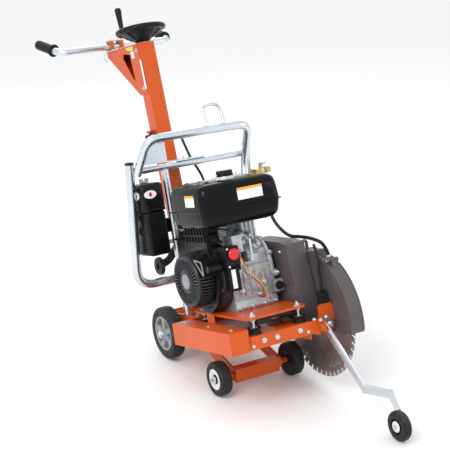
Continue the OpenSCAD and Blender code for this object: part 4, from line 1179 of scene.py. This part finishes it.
def bar_parts():
    """The bent handlebar and its two ribbed grips."""
    pivot = in_chassis("bar_tilt")
    half = 244
    reach = Vector((22, 148, 52))
    a = Vector((-half, pivot.y, pivot.z))
    b = Vector((half, pivot.y, pivot.z))
    s = Shape()
    s.tube(rounded([a + Vector((-reach.x, reach.y, reach.z)), a, b, b + reach], 42, 12), 14.9, 28)
    s.put("bar_tube", "handlebar", "zinc", bevel=0, stands_in=True, smooth=60)
    g = Shape()
    for side, foot in ((-1, a), (1, b)):
        d = unit(Vector((side * reach.x, reach.y, reach.z)))
        profile = [(15.6, 48), (25.5, 48), (25.8, 51), (24, 54), (19.5, 56)]
        for k in range(13):
            z = 58 + 8 * k
            profile += [(19.6, z), (19.6, z + 4.5), (18.4, z + 5.2), (18.4, z + 7.2)]
        profile += [(19.6, 163), (19, 168), (16, 170), (0, 170), (0, 160), (15.6, 160)]
        g.turned(foot, d, profile, 40)
    g.put("rubber_grips", "grips", "rubber", bevel=0, stands_in=True)


def chassis_details():
    """The deck's tab and screws, and the anchor bar on the engine plate."""
    s = Shape()
    s.box((-165, -160), (-380, -330), (60, 96))
    s.box((-160, -132), (-380, -330), (30, 34))
    s.put("deck_tab", "chassis", "orange_paint", bevel=0.8)
    b = Shape()
    for y in (-560, -400, -230):
        b.bolt((-200, y, 63), UP, 5)
    for x in (-150, 70):
        b.bolt((x, -611, 2), AHEAD, 4)
    b.rod((107, -640, 35), (107, -640, 44), 9, 8)
    b.dome((107, -600, 35), UP, 10, 9)
    b.bolt((143, -630, 15), LEFT, 11, stud=True)
    b.put("chassis_screws", "chassis", "zinc", bevel=0.3)
    strip = Shape()
    strip.box((-100, -40), (-566, -556), (60, 78))
    strip.box((-118, 64), (-562, -556), (70, 80))
    strip.put("anchor_bar", "engine_plate", "heat_black", bevel=0.8)


def isolator_parts():
    """Four waisted rubber mounts, with their washers and studs."""
    s = Shape()
    w = Shape()
    for x in (-118, 64):
        for y in (-572, -222):
            s.turned((x, y, 35), UP, [(0, 0), (24, 0), (25.4, 2), (24, 4), (21.5, 6), (20.6, 11),
                                      (21.5, 16),
                                      (24, 18), (25.4, 20), (24, 22), (0, 22)], 44)
            w.rod((x, y, 57), (x, y, 59.5), 14)
            w.bolt((x, y, 78), UP, 9, washer=False)
            w.rod((x, y, 94), (x, y, 96), 15)
            w.rod((x, y, 102), (x, y, 110), 4.6, 4.0, 20)
    s.put("rubber_mounts", "isolators", "rubber", bevel=0, stands_in=True)
    w.put("mount_washers", "mounting_bolts", "zinc", bevel=0.3)


def water_parts():
    """The feed hose, its clips and the inlet's collar."""
    hose = [(286, -98, 520), (286, -104, 496), (272, -130, 460), (238, -190, 410), (200, -280, 365),
            (168, -380, 335), (150, -460, 320), (150, -520, 318), (160, -566, 312), (178, -600, 296),
            (194, -600, 276), (204, -596, 258), (209, -592, 244), (209, -591, 232)]
    s = Shape()
    s.tube(smooth_line(hose, 6), 6.4, 18)
    s.put("feed_hose", "water_hose", "rubber", bevel=0, stands_in=True)
    c = Shape()
    for p, d in (((286, -99, 512), (0, -0.2, -1)), ((209, -591.5, 240), UP)):
        p, d = Vector(p), unit(d)
        c.turned(p, d, [(6.4, -4), (7.8, -4), (7.8, 4), (6.4, 4)], 28)
        c.box((p.x + 6, p.x + 12), (p.y - 3, p.y + 3), (p.z - 3, p.z + 3))
    c.put("hose_clips", "water_valve", "zinc", bevel=0.2)
    f = Shape()
    f.turned((0, -98, 545), LEFT, [(6, 300), (12.4, 300), (12.4, 304), (10.8, 305), (10.8, 309),
                                   (12.4, 310), (12.4, 322), (6, 322)], 36)
    f.put("inlet_collar", "water_valve", "blue_plastic", bevel=0.3)


# ---------------------------------------------------------------- the model
# Nodes whose stand-ins are modelled here, and small ones that keep a fine edge.
REMADE = ["fuel_tank_upper", "fuel_tank_lower", "fuel_cap", "engine_switch", "wiring", "rear_right_tyre",
          "rear_right_rim", "rear_left_tyre", "rear_left_rim", "front_right_wheel", "front_left_wheel",
          "pointer_wheel", "blade", "lifting_frame", "stop_button", "handwheel", "crank_knob", "handlebar",
          "grips", "isolators", "water_hose", "recoil_cover"]
SHARP = ["carburettor", "mounting_bolts", "v_belts", "blade_flanges", "choke_lever", "throttle_lever"]


def build_model():
    for node in NODES:
        if node not in REMADE:
            dress(node, bevel=0.3 if node in SHARP else 0.8)
    starter_cover()
    fan_shroud()
    fuel_tank()
    filler()
    air_filter()
    crankcase_details()
    cylinder_details()
    intake_details()
    muffler_details()
    switch_details()
    wires()
    rear_wheel(-1, "rear_right_tyre", "rear_right_rim")
    rear_wheel(1, "rear_left_tyre", "rear_left_rim")
    front_wheel(-1, "front_right_wheel", "hub_white")
    front_wheel(1, "front_left_wheel", "black_plastic")
    pointer_parts()
    blade_parts()
    guard_details()
    belt_guard_details()
    lifting_tubes()
    column_details()
    saddle_details()
    hand_controls()
    bar_parts()
    chassis_details()
    isolator_parts()
    water_parts()


make_camera()
make_studio()
build_model()
